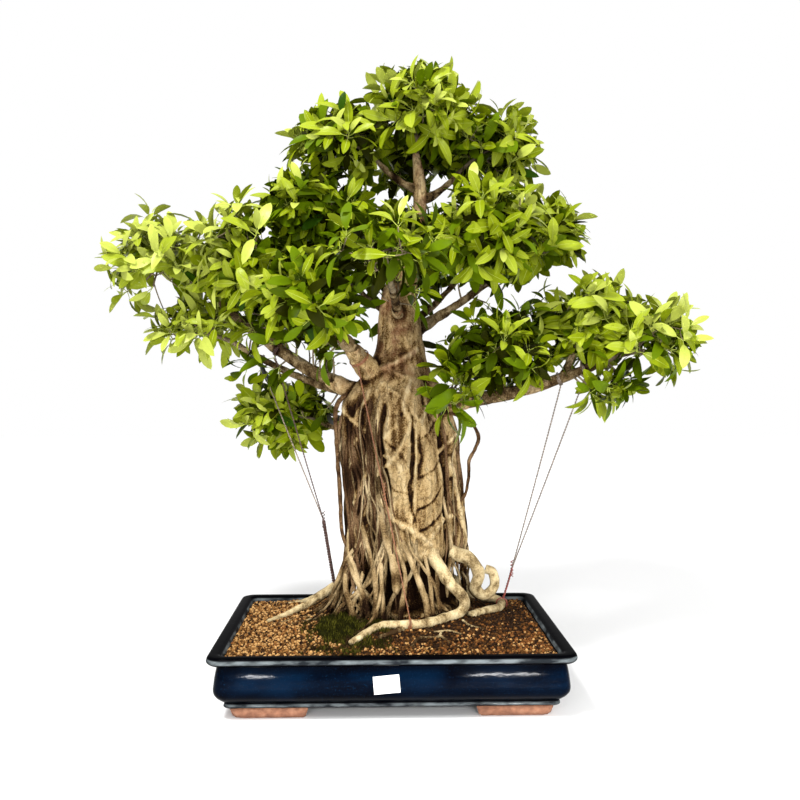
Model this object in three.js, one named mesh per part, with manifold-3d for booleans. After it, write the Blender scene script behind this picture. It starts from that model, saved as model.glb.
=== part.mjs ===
// A ficus bonsai with fused aerial roots, standing in a glazed rectangular pot on four corner feet.
// Millimetres, +Z up. The origin is on the ground under the middle of the pot; the front faces -Y.

import * as THREE from "three";
import { mergeVertices } from "three/addons/utils/BufferGeometryUtils.js";
import Module from "manifold-3d";

const manifold = await Module();
manifold.setup();

// Driving dimensions

const GAP = 0.3; // clearance between neighbouring solids

// The corner radius shrinks with the inset of a line, down to the least radius.
const POT = { length: 600, width: 440, foot: 19, corner: 26, shrink: 0.6, leastCorner: 5, cornerSteps: 4 };

// Section of the pot wall as [inset from the widest line, height]: the outside from the underside to the rim's
// inner edge, and the inside from there down to the floor.
const POT_OUTSIDE = [
  [31, POT.foot], [26, 22], [28, 28], [18, 40], [11, 56], [11, 76], [17, 90],
  [4, 94], [0, 99], [3, 108], [20, 108],
];
const POT_INSIDE = [[25, 103], [28, 90], [31, 60], [42, 34]];
const POT_FLOOR = POT_INSIDE[POT_INSIDE.length - 1][1];
const DRAIN = { radius: 16, offset: 130, sides: 12 };

const FOOT = { alongLength: 132, alongWidth: 100, thickness: 30, inset: 32, taper: 6, corner: 16, bulge: 0.3 };

// Soil fills the pot to `edge` and rises to a flat plateau under the trunk.
const SOIL = { edge: 97, plateau: 118, centre: [25, 75], radii: [140, 94], rings: 4, cornerSteps: 5 };

const MOSS = { centre: [-96, -46], radii: [46, 62], rise: 6, sides: 8, foot: 1.1, top: 0.7, ripple: 0.08 };

// Rows of the trunk from the soil to its tip: height, centre and half sizes across and in depth.
const TRUNK = [
  { z: 108, x: 25, y: 75, across: 122, depth: 94 },
  { z: 160, x: 22, y: 75, across: 112, depth: 87 },
  { z: 235, x: 27, y: 75, across: 107, depth: 84 },
  { z: 311, x: 26, y: 75, across: 103, depth: 82 },
  { z: 389, x: 20, y: 75, across: 103, depth: 80 },
  { z: 465, x: 13, y: 75, across: 104, depth: 78 },
  { z: 520, x: 12, y: 75, across: 90, depth: 74 },
  { z: 560, x: 14, y: 75, across: 64, depth: 60 },
  { z: 605, x: 19, y: 74, across: 46, depth: 45 },
  { z: 660, x: 18, y: 72, across: 40, depth: 39 },
  { z: 705, x: 18, y: 70, across: 33, depth: 33 },
  { z: 745, x: 26, y: 69, across: 28, depth: 28 },
  { z: 800, x: 38, y: 68, across: 22, depth: 22 },
  { z: 860, x: 55, y: 67, across: 14, depth: 14 },
  { z: 910, x: 56, y: 66, across: 12, depth: 12 },
  { z: 972, x: 49, y: 62, across: 7, depth: 7 },
];
const TRUNK_MESH = { rows: 20, sides: 14 };

// Broad and fine flutes run up the trunk, turn a little with height and fade out below `end`.
const FLUTES = { lobes: 5, depth: 0.07, phase: 0.6, end: 620, fade: 120 };
const FINE_FLUTES = { lobes: 8, depth: 0.035, twist: 0.006 };

// Roots that have grown down the trunk and fused with it.
const STRANDS = {
  count: 8,
  seed: 11,
  scatter: 0.7,
  top: [250, 515],
  radius: [6.5, 12],
  thin: 0.6,
  drift: 0.7,
  flare: 34,
  sink: 0.35,
  points: 5,
  sides: 5,
  steps: 4,
};

// Roots that lie apart from the trunk, each along a few points with its radius at both ends.
const ROOTS = [
  {
    name: "root_front",
    radii: [12, 6],
    path: [
      [58, 20, 258], [101, -16, 190], [131, -16, 154], [130, -14, 132], [104, -30, 123],
      [58, -62, 120], [14, -66, 119], [-20, -66, 117], [-46, -94, 112], [-68, -130, 106],
    ],
  },
  {
    name: "root_right",
    radii: [9, 7],
    path: [
      [120, 82, 165], [168, 100, 132], [205, 126, 118], [219, 112, 113], [206, 72, 113],
      [172, 30, 117], [144, -2, 118],
    ],
  },
  {
    name: "root_curl",
    radii: [13, 8],
    path: [
      [112, 40, 226], [148, 32, 214], [164, 30, 188], [160, 34, 160], [176, 40, 145],
      [196, 46, 160], [194, 52, 186], [180, 54, 192],
    ],
  },
  {
    name: "root_left",
    radii: [9, 4],
    path: [[-70, 70, 182], [-120, 72, 146], [-160, 66, 122], [-195, 52, 108], [-228, 26, 101]],
  },
  {
    name: "root_left_back",
    radii: [8, 4],
    path: [[-70, 105, 175], [-120, 128, 138], [-165, 142, 112], [-205, 150, 102]],
  },
  {
    name: "aerial_root_left",
    radii: [4.5, 3.5],
    path: [
      [-70, 58, 528], [-99, 40, 500], [-99, 36, 430], [-93, 32, 340], [-88, 28, 262], [-66, 36, 215],
    ],
  },
  {
    name: "aerial_root_right",
    radii: [3.5, 3],
    path: [
      [100, 52, 492], [146, 38, 472], [164, 34, 444], [158, 34, 420], [147, 34, 398],
      [146, 36, 366], [138, 42, 330], [112, 60, 306],
    ],
  },
];

// Spaces of the masses of leaves: the middle and the half sizes of each.
const MASSES = {
  foliage_apex_left: { centre: [-90, 70, 1000], radii: [128, 130, 86] },
  foliage_apex_top: { centre: [58, 40, 1050], radii: [122, 142, 104] },
  foliage_apex_right: { centre: [198, 82, 988], radii: [114, 128, 96] },
  foliage_apex_back: { centre: [70, 205, 1000], radii: [150, 105, 95] },
  foliage_mid_left: { centre: [-140, 50, 870], radii: [126, 125, 92] },
  foliage_mid_right: { centre: [172, -25, 820], radii: [114, 128, 104] },
  foliage_right_high: { centre: [300, 85, 812], radii: [94, 120, 108] },
  foliage_front_centre: { centre: [-10, -176, 748], radii: [114, 144, 90] },
  foliage_front_left: { centre: [-140, -118, 690], radii: [104, 120, 90] },
  foliage_left_outer: { centre: [-446, 112, 770], radii: [140, 132, 128] },
  foliage_left_inner: { centre: [-264, 40, 775], radii: [124, 135, 112] },
  foliage_left_low: { centre: [-368, 125, 640], radii: [142, 115, 92] },
  foliage_right_inner: { centre: [205, 15, 606], radii: [130, 125, 92] },
  foliage_right_mid: { centre: [362, 20, 655], radii: [118, 138, 106] },
  foliage_right_outer: { centre: [467, -45, 600], radii: [118, 118, 104] },
  foliage_low_left: { centre: [-208, 165, 478], radii: [126, 98, 84] },
  foliage_sprig: { centre: [104, -84, 535], radii: [64, 60, 84] },
  foliage_back_centre: { centre: [24, 216, 815], radii: [150, 98, 110] },
  foliage_back_left: { centre: [-195, 220, 838], radii: [130, 94, 98] },
  foliage_back_right: { centre: [225, 218, 830], radii: [130, 94, 102] },
};

// Each bough leaves its parent limb `at` a height on the trunk or a share along another bough, heads for the
// middle of its mass, stops at the share `reach` of the way, and sags or rises in between by `bow`. The columns
// are the name, parent, at, mass, reach, bow, and the radius at both ends.
const BOUGHS = [
  ["bough_left_main", "trunk", 500, "foliage_left_outer", 0.74, [0, -20, -28], [17, 7]],
  ["bough_left_low", "trunk", 508, "foliage_left_low", 0.78, [0, 8, -20], [9, 5.5]],
  ["bough_left_inner", "bough_left_main", 0.62, "foliage_left_inner", 0.42, [0, -8, 0], [8, 5.5]],
  ["bough_upright", "trunk", 505, "foliage_front_left", 0.74, [-22, 12, 26], [24, 8]],
  ["bough_mid_left", "trunk", 790, "foliage_mid_left", 0.52, [0, 0, 6], [9, 5]],
  ["bough_mid_right", "trunk", 765, "foliage_mid_right", 0.5, [0, 0, 5], [9, 5]],
  ["bough_front", "trunk", 650, "foliage_front_centre", 0.55, [0, 0, 8], [11, 6]],
  ["bough_apex_left", "trunk", 905, "foliage_apex_left", 0.52, [0, 0, -8], [7, 4.5]],
  ["bough_apex_right", "trunk", 885, "foliage_apex_right", 0.52, [0, 0, -8], [7, 4.5]],
  ["bough_apex_back", "trunk", 890, "foliage_apex_back", 0.5, [0, 0, -6], [7, 4.5]],
  ["bough_rear", "trunk", 495, "foliage_back_centre", 0.78, [34, 0, -10], [24, 8]],
  ["bough_right_high", "bough_rear", 0.6, "foliage_right_high", 0.66, [0, -8, -4], [10, 5.5]],
  ["bough_back_left", "bough_rear", 0.6, "foliage_back_left", 0.5, [0, 0, -6], [7, 5]],
  ["bough_back_right", "bough_rear", 0.68, "foliage_back_right", 0.5, [0, 0, -6], [7, 5]],
  ["bough_right_low", "trunk", 505, "foliage_right_outer", 0.82, [0, 0, -25], [19, 7]],
  ["bough_right_inner", "bough_right_low", 0.5, "foliage_right_inner", 0.5, [0, 0, 0], [6.5, 5]],
  ["bough_right_mid", "bough_right_low", 0.8, "foliage_right_mid", 0.5, [0, 0, 0], [6.5, 5]],
  ["bough_low_left", "trunk", 440, "foliage_low_left", 0.68, [0, 6, -8], [9, 5]],
  ["bough_sprig", "bough_right_low", 0.24, "foliage_sprig", 0.5, [0, 0, 6], [5, 4]],
];
const BOUGH_MESH = { sides: 6, steps: 4 };
const ROOT_MESH = { sides: 5, stepsPerPoint: 1.6 };

// Wires that hold boughs down: each ties one or two boughs to a root, at shares along them, by way of one knot.
const WIRES = [
  {
    name: "wire_left",
    boughs: [["bough_left_main", 0.62], ["bough_left_low", 0.86]],
    knot: [-124, 38, 288],
    root: ["root_left", 0.2],
  },
  {
    name: "wire_right",
    boughs: [["bough_right_low", 0.78], ["bough_right_low", 0.9]],
    knot: [236, 92, 184],
    root: ["root_right", 0.5],
  },
  {
    name: "wire_front",
    boughs: [["bough_upright", 0.5]],
    knot: [-12, -42, 350],
    root: ["root_front", 0.67],
  },
];
const WIRE = { radius: 1.6, sides: 4, loopSides: 8, knot: 1.8, leafGap: 1 };

// Twigs and leaves. Leaves are larger than life, so that a few of them fill the crown.
const STEM = { sides: 4, steps: 2, radii: [5, 3.6], bend: 0.45, buds: [0.3, 0.55, 0.8, 0.97] };
const TWIG = { share: 0.75, tip: 3, buds: [0.5, 0.85], margin: 0.05, tested: [0.4, 0.6, 0.8, 1] };
const TIPS = { spacing: 40, reach: [0.82, 1], leafRoom: 0.6, leastReach: 0.35 };
const WHORL = { leaves: 5, thickness: 5, spread: 1.05, vary: 0.3, scatter: 0.2 };
const LEAF = { length: 118, width: 0.62, widest: 0.55, droop: 0.12, margin: 0.02 };
const LEAF_SIZES = [1, 0.85, 0.7, 0.55]; // tried in turn until there is room
const GOLDEN_ANGLE = Math.PI * (3 - Math.sqrt(5));

const FINISHES = {
  glaze: { color: "#1b2a4a", roughness: 0.25, metalness: 0 },
  clay: { color: "#8f5138", roughness: 0.9, metalness: 0 },
  soil: { color: "#7d5a3c", roughness: 1, metalness: 0 },
  moss: { color: "#6b7434", roughness: 1, metalness: 0 },
  bark: { color: "#8d7359", roughness: 0.9, metalness: 0 },
  root: { color: "#9a7f63", roughness: 0.9, metalness: 0 },
  leaf: { color: "#6f9a32", roughness: 0.5, metalness: 0 },
  wire: { color: "#6f3b33", roughness: 0.5, metalness: 0.5 },
};

// General helpers

const vector = (p) => new THREE.Vector3(...p);
const mix = (a, b, t) => a + (b - a) * t;
const smooth = (t) => THREE.MathUtils.smoothstep(t, 0, 1);

// A repeatable stream of numbers from 0 to 1.
function stream(seed) {
  let state = seed >>> 0;
  return () => {
    state = (Math.imul(state, 1664525) + 1013904223) >>> 0;
    return state / 4294967296;
  };
}

// Triangles that close a flat ring of points, counter-clockwise about the ring's own normal.
function capFaces(ring) {
  const middle = ring.reduce((sum, p) => sum.add(p), new THREE.Vector3()).divideScalar(ring.length);
  const normal = new THREE.Vector3();
  ring.forEach((p, i) => {
    const next = ring[(i + 1) % ring.length];
    normal.add(p.clone().sub(middle).cross(next.clone().sub(middle)));
  });
  const across = ring[0].clone().sub(middle).normalize();
  const along = normal.normalize().clone().cross(across);
  const flat = ring.map((p) => {
    const offset = p.clone().sub(middle);
    return new THREE.Vector2(offset.dot(across), offset.dot(along));
  });
  return THREE.ShapeUtils.triangulateShape(flat, []);
}

// A closed skin through rings of equally many points, with a flat cap on the first and the last ring.
function loft(rings) {
  const count = rings[0].length;
  const faces = capFaces(rings[0]).map(([a, b, c]) => [c, b, a]);
  for (let r = 0; r + 1 < rings.length; r++) {
    for (let i = 0; i < count; i++) {
      const j = (i + 1) % count;
      const low = r * count;
      const high = low + count;
      faces.push([low + i, low + j, high + j], [low + i, high + j, high + i]);
    }
  }
  const last = (rings.length - 1) * count;
  capFaces(rings[rings.length - 1]).forEach((face) => faces.push(face.map((i) => last + i)));
  const geometry = new THREE.BufferGeometry().setFromPoints(rings.flat());
  geometry.setIndex(faces.flat());
  return geometry;
}

function solidOf(geometry) {
  const bare = new THREE.BufferGeometry();
  bare.setAttribute("position", geometry.getAttribute("position"));
  bare.setIndex(geometry.index);
  const merged = mergeVertices(bare, 1e-4);
  return new manifold.Manifold(
    new manifold.Mesh({
      numProp: 3,
      vertProperties: new Float32Array(merged.getAttribute("position").array),
      triVerts: new Uint32Array(merged.index.array),
    }),
  );
}

const join = (solids) => solids.reduce((whole, next) => whole.add(next));

// The largest body of a solid, which drops loose scraps and fills sealed hollows.
function largest(solid) {
  return solid.decompose().reduce((best, body) => (body.volume() > best.volume() ? body : best));
}

function geometryOf(solid) {
  const mesh = solid.getMesh();
  const geometry = new THREE.BufferGeometry();
  const positions = new Float32Array(mesh.numVert * 3);
  for (let i = 0; i < mesh.numVert; i++) {
    for (let k = 0; k < 3; k++) positions[3 * i + k] = mesh.vertProperties[mesh.numProp * i + k];
  }
  geometry.setAttribute("position", new THREE.BufferAttribute(positions, 3));
  geometry.setIndex(new THREE.BufferAttribute(new Uint32Array(mesh.triVerts), 1));
  return geometry;
}

// A round limb along a curve; `radiusAt` gives the radius at each share of the way.
function limbGeometry(curve, radiusAt, sides, steps) {
  const frames = curve.computeFrenetFrames(steps, false);
  const rings = [];
  for (let k = 0; k <= steps; k++) {
    const middle = curve.getPointAt(k / steps);
    const ring = [];
    for (let i = 0; i < sides; i++) {
      const angle = (2 * Math.PI * i) / sides;
      const out = frames.normals[k].clone().multiplyScalar(Math.cos(angle));
      out.addScaledVector(frames.binormals[k], Math.sin(angle));
      ring.push(middle.clone().addScaledVector(out, radiusAt(k / steps)));
    }
    rings.push(ring);
  }
  return loft(rings);
}

const taper = (radii, grow = 0) => (t) => mix(radii[0], radii[1], t) + grow;

const tree = new THREE.Group();
function node(name, geometry, finish) {
  const material = new THREE.MeshStandardMaterial({ ...FINISHES[finish], flatShading: true });
  const mesh = new THREE.Mesh(geometry, material);
  mesh.name = name;
  tree.add(mesh);
}

// Pot and feet

function roundedRing(inset, height, steps = POT.cornerSteps) {
  const radius = Math.max(POT.corner - POT.shrink * inset, POT.leastCorner);
  const middle = [POT.length / 2 - inset - radius, POT.width / 2 - inset - radius];
  const ring = [];
  [[1, 1], [-1, 1], [-1, -1], [1, -1]].forEach(([sx, sy], corner) => {
    for (let i = 0; i < steps; i++) {
      const angle = (Math.PI / 2) * (corner + i / (steps - 1));
      const x = sx * middle[0] + radius * Math.cos(angle);
      const y = sy * middle[1] + radius * Math.sin(angle);
      ring.push(new THREE.Vector3(x, y, height));
    }
  });
  return ring;
}

const drains = [-1, 1].map((side) => {
  const drain = new THREE.CylinderGeometry(DRAIN.radius, DRAIN.radius, POT_FLOOR, DRAIN.sides);
  drain.rotateX(Math.PI / 2);
  drain.translate(side * DRAIN.offset, 0, (POT.foot + POT_FLOOR) / 2);
  return solidOf(drain);
});
const potRings = [...POT_OUTSIDE, ...POT_INSIDE].map(([inset, height]) => roundedRing(inset, height));
node("pot", geometryOf(solidOf(loft(potRings)).subtract(join(drains))), "glaze");

// An L of clay under one corner, narrower at the ground than under the pot.
function footGeometry(sx, sy) {
  const corner = [POT.length / 2 - FOOT.inset, POT.width / 2 - FOOT.inset];
  const outline = (shrink, height) => {
    const out = [corner[0] - shrink, corner[1] - shrink];
    const inner = [corner[0] - FOOT.thickness + shrink, corner[1] - FOOT.thickness + shrink];
    const ends = [corner[0] - FOOT.alongLength + shrink, corner[1] - FOOT.alongWidth + shrink];
    const cut = FOOT.corner;
    const bulge = FOOT.bulge * cut;
    const points = [
      [ends[0], inner[1]], [inner[0], inner[1]], [inner[0], ends[1]], [out[0], ends[1]],
      [out[0], out[1] - cut], [out[0] - bulge, out[1] - bulge], [out[0] - cut, out[1]], [ends[0], out[1]],
    ];
    const ring = points.map(([x, y]) => new THREE.Vector3(sx * x, sy * y, height));
    return sx * sy > 0 ? ring : ring.reverse();
  };
  return loft([outline(FOOT.taper, 0), outline(0, POT.foot)]);
}
for (const [side, sx] of [["left", -1], ["right", 1]]) {
  for (const [end, sy] of [["front", -1], ["back", 1]]) {
    node(`foot_${end}_${side}`, footGeometry(sx, sy), "clay");
  }
}

// Soil and moss

const soilRing = ([inset, height]) => roundedRing(inset + GAP, height, SOIL.cornerSteps);
const buriedWall = POT_INSIDE.filter(([, height]) => height < SOIL.edge).reverse();
const edgeInset = buriedWall[buriedWall.length - 1][0];

// Rings of the soil surface, raised by `lift`, from the pot wall to the edge of the plateau.
function soilTop(lift) {
  const wall = soilRing([edgeInset, SOIL.edge + lift]);
  const [middleX, middleY] = SOIL.centre;
  const [reachX, reachY] = SOIL.radii;
  const rings = [];
  for (let r = 0; r <= SOIL.rings; r++) {
    const t = r / SOIL.rings;
    const height = mix(SOIL.edge, SOIL.plateau, smooth(t)) + lift;
    const ring = wall.map((p) => {
      const angle = Math.atan2((p.y - middleY) / reachY, (p.x - middleX) / reachX);
      const x = mix(p.x, middleX + reachX * Math.cos(angle), t);
      const y = mix(p.y, middleY + reachY * Math.sin(angle), t);
      return new THREE.Vector3(x, y, height);
    });
    rings.push(ring);
  }
  return rings;
}

node("soil", loft([...buriedWall.map(soilRing), ...soilTop(0)]), "soil");

// All that lies under the soil's surface raised by `lift`.
const groundBlock = (lift) => solidOf(loft([soilRing([edgeInset, POT.foot]), ...soilTop(lift)]));
const ground = groundBlock(GAP);

// Trunk

const smoothThrough = (points) => new THREE.CatmullRomCurve3(points.map(vector), false, "catmullrom");
const trunkMiddle = smoothThrough(TRUNK.map((row) => [row.x, row.y, row.z]));
const trunkGirth = smoothThrough(TRUNK.map((row) => [row.across, row.depth, row.z]));

// The share of the trunk's rows at a height.
function trunkShare(height) {
  let [low, high] = [0, 1];
  for (let i = 0; i < 30; i++) {
    const middle = (low + high) / 2;
    if (trunkMiddle.getPoint(middle).z < height) low = middle;
    else high = middle;
  }
  return low;
}

// A point on the trunk's skin, pushed out by `grow`.
function trunkSkin(share, angle, grow) {
  const middle = trunkMiddle.getPoint(share);
  const girth = trunkGirth.getPoint(share);
  const fade = smooth((FLUTES.end - middle.z) / FLUTES.fade);
  const lobes = FLUTES.depth * Math.cos(FLUTES.lobes * angle + FLUTES.phase);
  const fine = FINE_FLUTES.depth * Math.cos(FINE_FLUTES.lobes * angle + FINE_FLUTES.twist * middle.z);
  const scale = 1 + fade * (lobes + fine);
  middle.x += (girth.x * scale + grow) * Math.cos(angle);
  middle.y += (girth.y * scale + grow) * Math.sin(angle);
  return middle;
}

// One fused root from the ground up the trunk's skin.
function strandSolid(number, random, grow) {
  const start = (2 * Math.PI * (number + STRANDS.scatter * random())) / STRANDS.count;
  const drift = STRANDS.drift * (random() - 0.5);
  const top = mix(...STRANDS.top, random());
  const radius = mix(...STRANDS.radius, random());
  const flare = STRANDS.flare * mix(0.5, 1, random());
  const points = [];
  for (let k = 0; k <= STRANDS.points; k++) {
    const up = k / STRANDS.points;
    const out = flare * Math.pow(1 - up, 3) - STRANDS.sink * radius * (1 + up);
    points.push(trunkSkin(trunkShare(mix(TRUNK[0].z, top, up)), start + drift * up, out));
  }
  const curve = new THREE.CatmullRomCurve3(points);
  const radiusAt = taper([radius, STRANDS.thin * radius], grow);
  return solidOf(limbGeometry(curve, radiusAt, STRANDS.sides, STRANDS.steps));
}

function trunkSolid(grow) {
  const rings = [];
  for (let k = 0; k <= TRUNK_MESH.rows; k++) {
    const ring = [];
    for (let i = 0; i < TRUNK_MESH.sides; i++) {
      ring.push(trunkSkin(k / TRUNK_MESH.rows, (2 * Math.PI * i) / TRUNK_MESH.sides, grow));
    }
    rings.push(ring);
  }
  const parts = [solidOf(loft(rings))];
  const random = stream(STRANDS.seed);
  for (let s = 0; s < STRANDS.count; s++) parts.push(strandSolid(s, random, grow));
  return join(parts).subtract(ground);
}

const trunk = largest(trunkSolid(0));
const trunkRoom = trunkSolid(GAP);
node("trunk", geometryOf(trunk), "bark");

// Boughs and roots

const limbs = {};

function parentPoint(parent, at) {
  return parent === "trunk" ? trunkMiddle.getPoint(trunkShare(at)) : limbs[parent].curve.getPointAt(at);
}

for (const [name, parent, at, mass, reach, bow, radii] of BOUGHS) {
  const foot = parentPoint(parent, at);
  const tip = foot.clone().lerp(vector(MASSES[mass].centre), reach);
  const bend = foot.clone().lerp(tip, 0.5).addScaledVector(vector(bow), 2);
  const curve = new THREE.QuadraticBezierCurve3(foot, bend, tip);
  limbs[name] = { curve, radii, mass, ...BOUGH_MESH, finish: "bark" };
}
for (const { name, radii, path } of ROOTS) {
  const curve = new THREE.CatmullRomCurve3(path.map(vector));
  const steps = Math.round(ROOT_MESH.stepsPerPoint * path.length);
  limbs[name] = { curve, radii, sides: ROOT_MESH.sides, steps, finish: "root" };
}

function limbSolid({ curve, radii, sides, steps }, grow) {
  return solidOf(limbGeometry(curve, taper(radii, grow), sides, steps));
}

// Every limb is cut clear of the trunk, of the ground and of the limbs made before it.
const rooms = [];
const clearOfRooms = (solid) => rooms.reduce((rest, room) => rest.subtract(room), solid);
for (const [name, limb] of Object.entries(limbs)) {
  const free = limbSolid(limb, 0).subtract(trunkRoom).subtract(ground);
  node(name, geometryOf(largest(clearOfRooms(free))), limb.finish);
  rooms.push(limbSolid(limb, GAP));
}

// The moss is a thin pad that follows the soil, with a sloping edge.
function mossBlock() {
  const outline = (spread, height) => {
    const ring = [];
    for (let i = 0; i < MOSS.sides; i++) {
      const angle = (2 * Math.PI * i) / MOSS.sides;
      const reach = spread * (1 + MOSS.ripple * Math.cos(3 * angle));
      const x = MOSS.centre[0] + MOSS.radii[0] * reach * Math.cos(angle);
      const y = MOSS.centre[1] + MOSS.radii[1] * reach * Math.sin(angle);
      ring.push(new THREE.Vector3(x, y, height));
    }
    return ring;
  };
  return solidOf(loft([outline(MOSS.foot, SOIL.edge), outline(MOSS.top, SOIL.plateau + MOSS.rise)]));
}
const mossPad = mossBlock().intersect(groundBlock(MOSS.rise)).subtract(ground);
node("moss", geometryOf(largest(clearOfRooms(mossPad).subtract(trunkRoom))), "moss");

// Wires

// A ring of wire round a limb at a share of the way along it.
function wireLoop([limbName, share]) {
  const { curve, radii } = limbs[limbName];
  const middle = curve.getPointAt(share);
  const turn = new THREE.Quaternion().setFromUnitVectors(new THREE.Vector3(0, 0, 1), curve.getTangentAt(share));
  const radius = mix(...radii, share) + 2 * GAP + WIRE.radius / Math.cos(Math.PI / WIRE.loopSides);
  const loop = new THREE.TorusGeometry(radius, WIRE.radius, WIRE.sides, WIRE.loopSides);
  loop.applyQuaternion(turn).translate(...middle.toArray());
  return { solid: solidOf(loop), middle, radius };
}

function wireSolid(from, to, radius) {
  return solidOf(limbGeometry(new THREE.LineCurve3(from, to), () => radius, WIRE.sides, 1));
}

// The point of a loop that lies nearest the knot its wire comes from.
function loopEnd({ middle, radius }, knot) {
  return middle.clone().addScaledVector(knot.clone().sub(middle).normalize(), radius);
}

const wireRooms = [];
for (const { name, boughs, knot, root } of WIRES) {
  const meeting = vector(knot);
  const loops = [root, ...boughs].map(wireLoop);
  const ends = loops.map((loop) => loopEnd(loop, meeting));
  const knotSolid = solidOf(new THREE.IcosahedronGeometry(WIRE.knot * WIRE.radius, 0).translate(...knot));
  const runs = ends.map((end) => wireSolid(end, meeting, WIRE.radius));
  const whole = join([...loops.map((loop) => loop.solid), ...runs, knotSolid]).subtract(ground);
  node(name, geometryOf(largest(clearOfRooms(whole).subtract(trunkRoom))), "wire");
  ends.forEach((end) => wireRooms.push(wireSolid(end, meeting, WIRE.radius + WIRE.leafGap)));
}

// Masses of leaves

// All the wood and wire with its clearance, which twigs and leaves keep clear of.
const occupied = join([trunkRoom, ...rooms, ...wireRooms]);

function occupiedIn({ centre, radii }) {
  const box = new THREE.BoxGeometry(...radii.map((r) => 2.2 * r)).translate(...centre);
  return occupied.intersect(solidOf(box));
}

const apart = (a, b) => a.intersect(b).isEmpty();

// How far out in a mass's space a point lies: 0 in its middle and 1 on its edge.
const depthIn = ({ centre, radii }, p) =>
  Math.hypot((p.x - centre[0]) / radii[0], (p.y - centre[1]) / radii[1], (p.z - centre[2]) / radii[2]);

// A point belongs to the mass in whose space it lies deepest.
function inSpace(name, point, margin) {
  const own = depthIn(MASSES[name], point);
  const others = Object.keys(MASSES).filter((other) => other !== name);
  return own < 1 && others.every((other) => depthIn(MASSES[other], point) > own + margin);
}

// One side, the tip and the other side of a leaf.
function leafOutline(middle, ahead, heading, length) {
  const side = ahead.clone().cross(heading).normalize().multiplyScalar((LEAF.width * length) / 2);
  const wide = middle.clone().addScaledVector(heading, LEAF.widest * length);
  const tip = middle.clone().addScaledVector(heading, length);
  tip.z -= LEAF.droop * length;
  return [wide.clone().sub(side), tip, wide.clone().add(side)];
}

function longestInSpace(name, middle, ahead, heading, limit) {
  const lengths = LEAF_SIZES.map((size) => Math.min(size, limit) * LEAF.length);
  const fitting = lengths.find((length) => {
    const outline = leafOutline(middle, ahead, heading, length);
    const between = [0, 1].map((i) => outline[i].clone().lerp(outline[i + 1], 0.5));
    return [...outline, ...between].every((p) => inSpace(name, p, LEAF.margin));
  });
  return fitting ?? 0;
}

// A twig from its root to its tip with the whorl of leaves that ends it, as one body. Each leaf is sharp at its
// edges and thickens towards the twig; one of no length is left out.
function sprayGeometry(root, rootRadius, tip, ahead, headings, lengths) {
  const count = headings.length;
  const notches = headings.map((heading, i) => {
    const between = heading.clone().add(headings[(i + 1) % count]);
    return between.addScaledVector(ahead, -between.dot(ahead)).normalize();
  });
  const points = [
    ...notches.map((out) => root.clone().addScaledVector(out, rootRadius)),
    ...notches.map((out) => tip.clone().addScaledVector(out, TWIG.tip)),
    tip.clone().addScaledVector(ahead, WHORL.thickness),
  ];
  const top = 2 * count;
  const faces = [];
  for (let i = 1; i + 1 < count; i++) faces.push([0, i + 1, i]);
  for (let i = 0; i < count; i++) {
    const before = (i + count - 1) % count;
    const [left, right] = [count + before, count + i];
    faces.push([before, i, right], [before, right, left]);
    if (lengths[i] === 0) {
      faces.push([left, right, top]);
      continue;
    }
    const [near, end, far] = [0, 1, 2].map((k) => points.length + k);
    points.push(...leafOutline(tip, ahead, headings[i], lengths[i]));
    faces.push([left, near, top], [near, end, top], [end, far, top], [far, right, top]);
    faces.push([left, end, near], [left, right, end], [end, right, far]);
  }
  const geometry = new THREE.BufferGeometry().setFromPoints(points);
  geometry.setIndex(faces.flat());
  return geometry;
}

// Headings of the leaves round a twig's tip, evenly turned and opened out from the twig.
function whorlHeadings(ahead, random) {
  const across = new THREE.Vector3(-ahead.y, ahead.x, 0.01).cross(ahead).normalize();
  const along = ahead.clone().cross(across);
  const turn = 2 * Math.PI * random();
  const headings = [];
  for (let i = 0; i < WHORL.leaves; i++) {
    const angle = turn + (2 * Math.PI * (i + WHORL.scatter * random())) / WHORL.leaves;
    const spread = WHORL.spread * (1 + WHORL.vary * (random() - 0.5));
    const heading = ahead.clone().multiplyScalar(Math.cos(spread));
    heading.addScaledVector(across, Math.sin(spread) * Math.cos(angle));
    headings.push(heading.addScaledVector(along, Math.sin(spread) * Math.sin(angle)));
  }
  return headings;
}

// The largest spray on a bud that stays in its mass and off the limbs, and off the other sprays if it can.
function spraySolid(name, bud, tip, random, limbsNear, sprays) {
  const ahead = tip.clone().sub(bud.point).normalize();
  const headings = whorlHeadings(ahead, random);
  const choices = LEAF_SIZES.map((limit) => {
    const lengths = headings.map((heading) => longestInSpace(name, tip, ahead, heading, limit));
    return solidOf(sprayGeometry(bud.point, TWIG.share * bud.radius, tip, ahead, headings, lengths));
  }).filter((spray) => apart(spray, limbsNear));
  return choices.find((spray) => sprays.every((other) => apart(spray, other))) ?? choices[choices.length - 1];
}

// Places for the tips of a mass's twigs, spread evenly round its middle.
function tipPlaces({ centre, radii }, random) {
  const turn = 2 * Math.PI * random();
  const count = Math.round(Math.hypot(...radii) / TIPS.spacing) + 1;
  const places = [];
  for (let i = 0; i < count; i++) {
    const height = 1 - (2 * (i + 0.5)) / count;
    const ring = Math.sqrt(1 - height * height);
    const angle = turn + i * GOLDEN_ANGLE;
    const out = mix(...TIPS.reach, random());
    const reach = radii.map((r) => Math.max(r - TIPS.leafRoom * LEAF.length, TIPS.leastReach * r) * out);
    const offset = new THREE.Vector3(ring * Math.cos(angle), ring * Math.sin(angle), height);
    places.push(offset.multiply(vector(reach)).add(vector(centre)));
  }
  return places;
}

// Every mass has a seed of its own, from where it is.
const seedOf = ({ centre }) => 7 * centre[0] + 13 * centre[2] + 4001;

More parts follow.
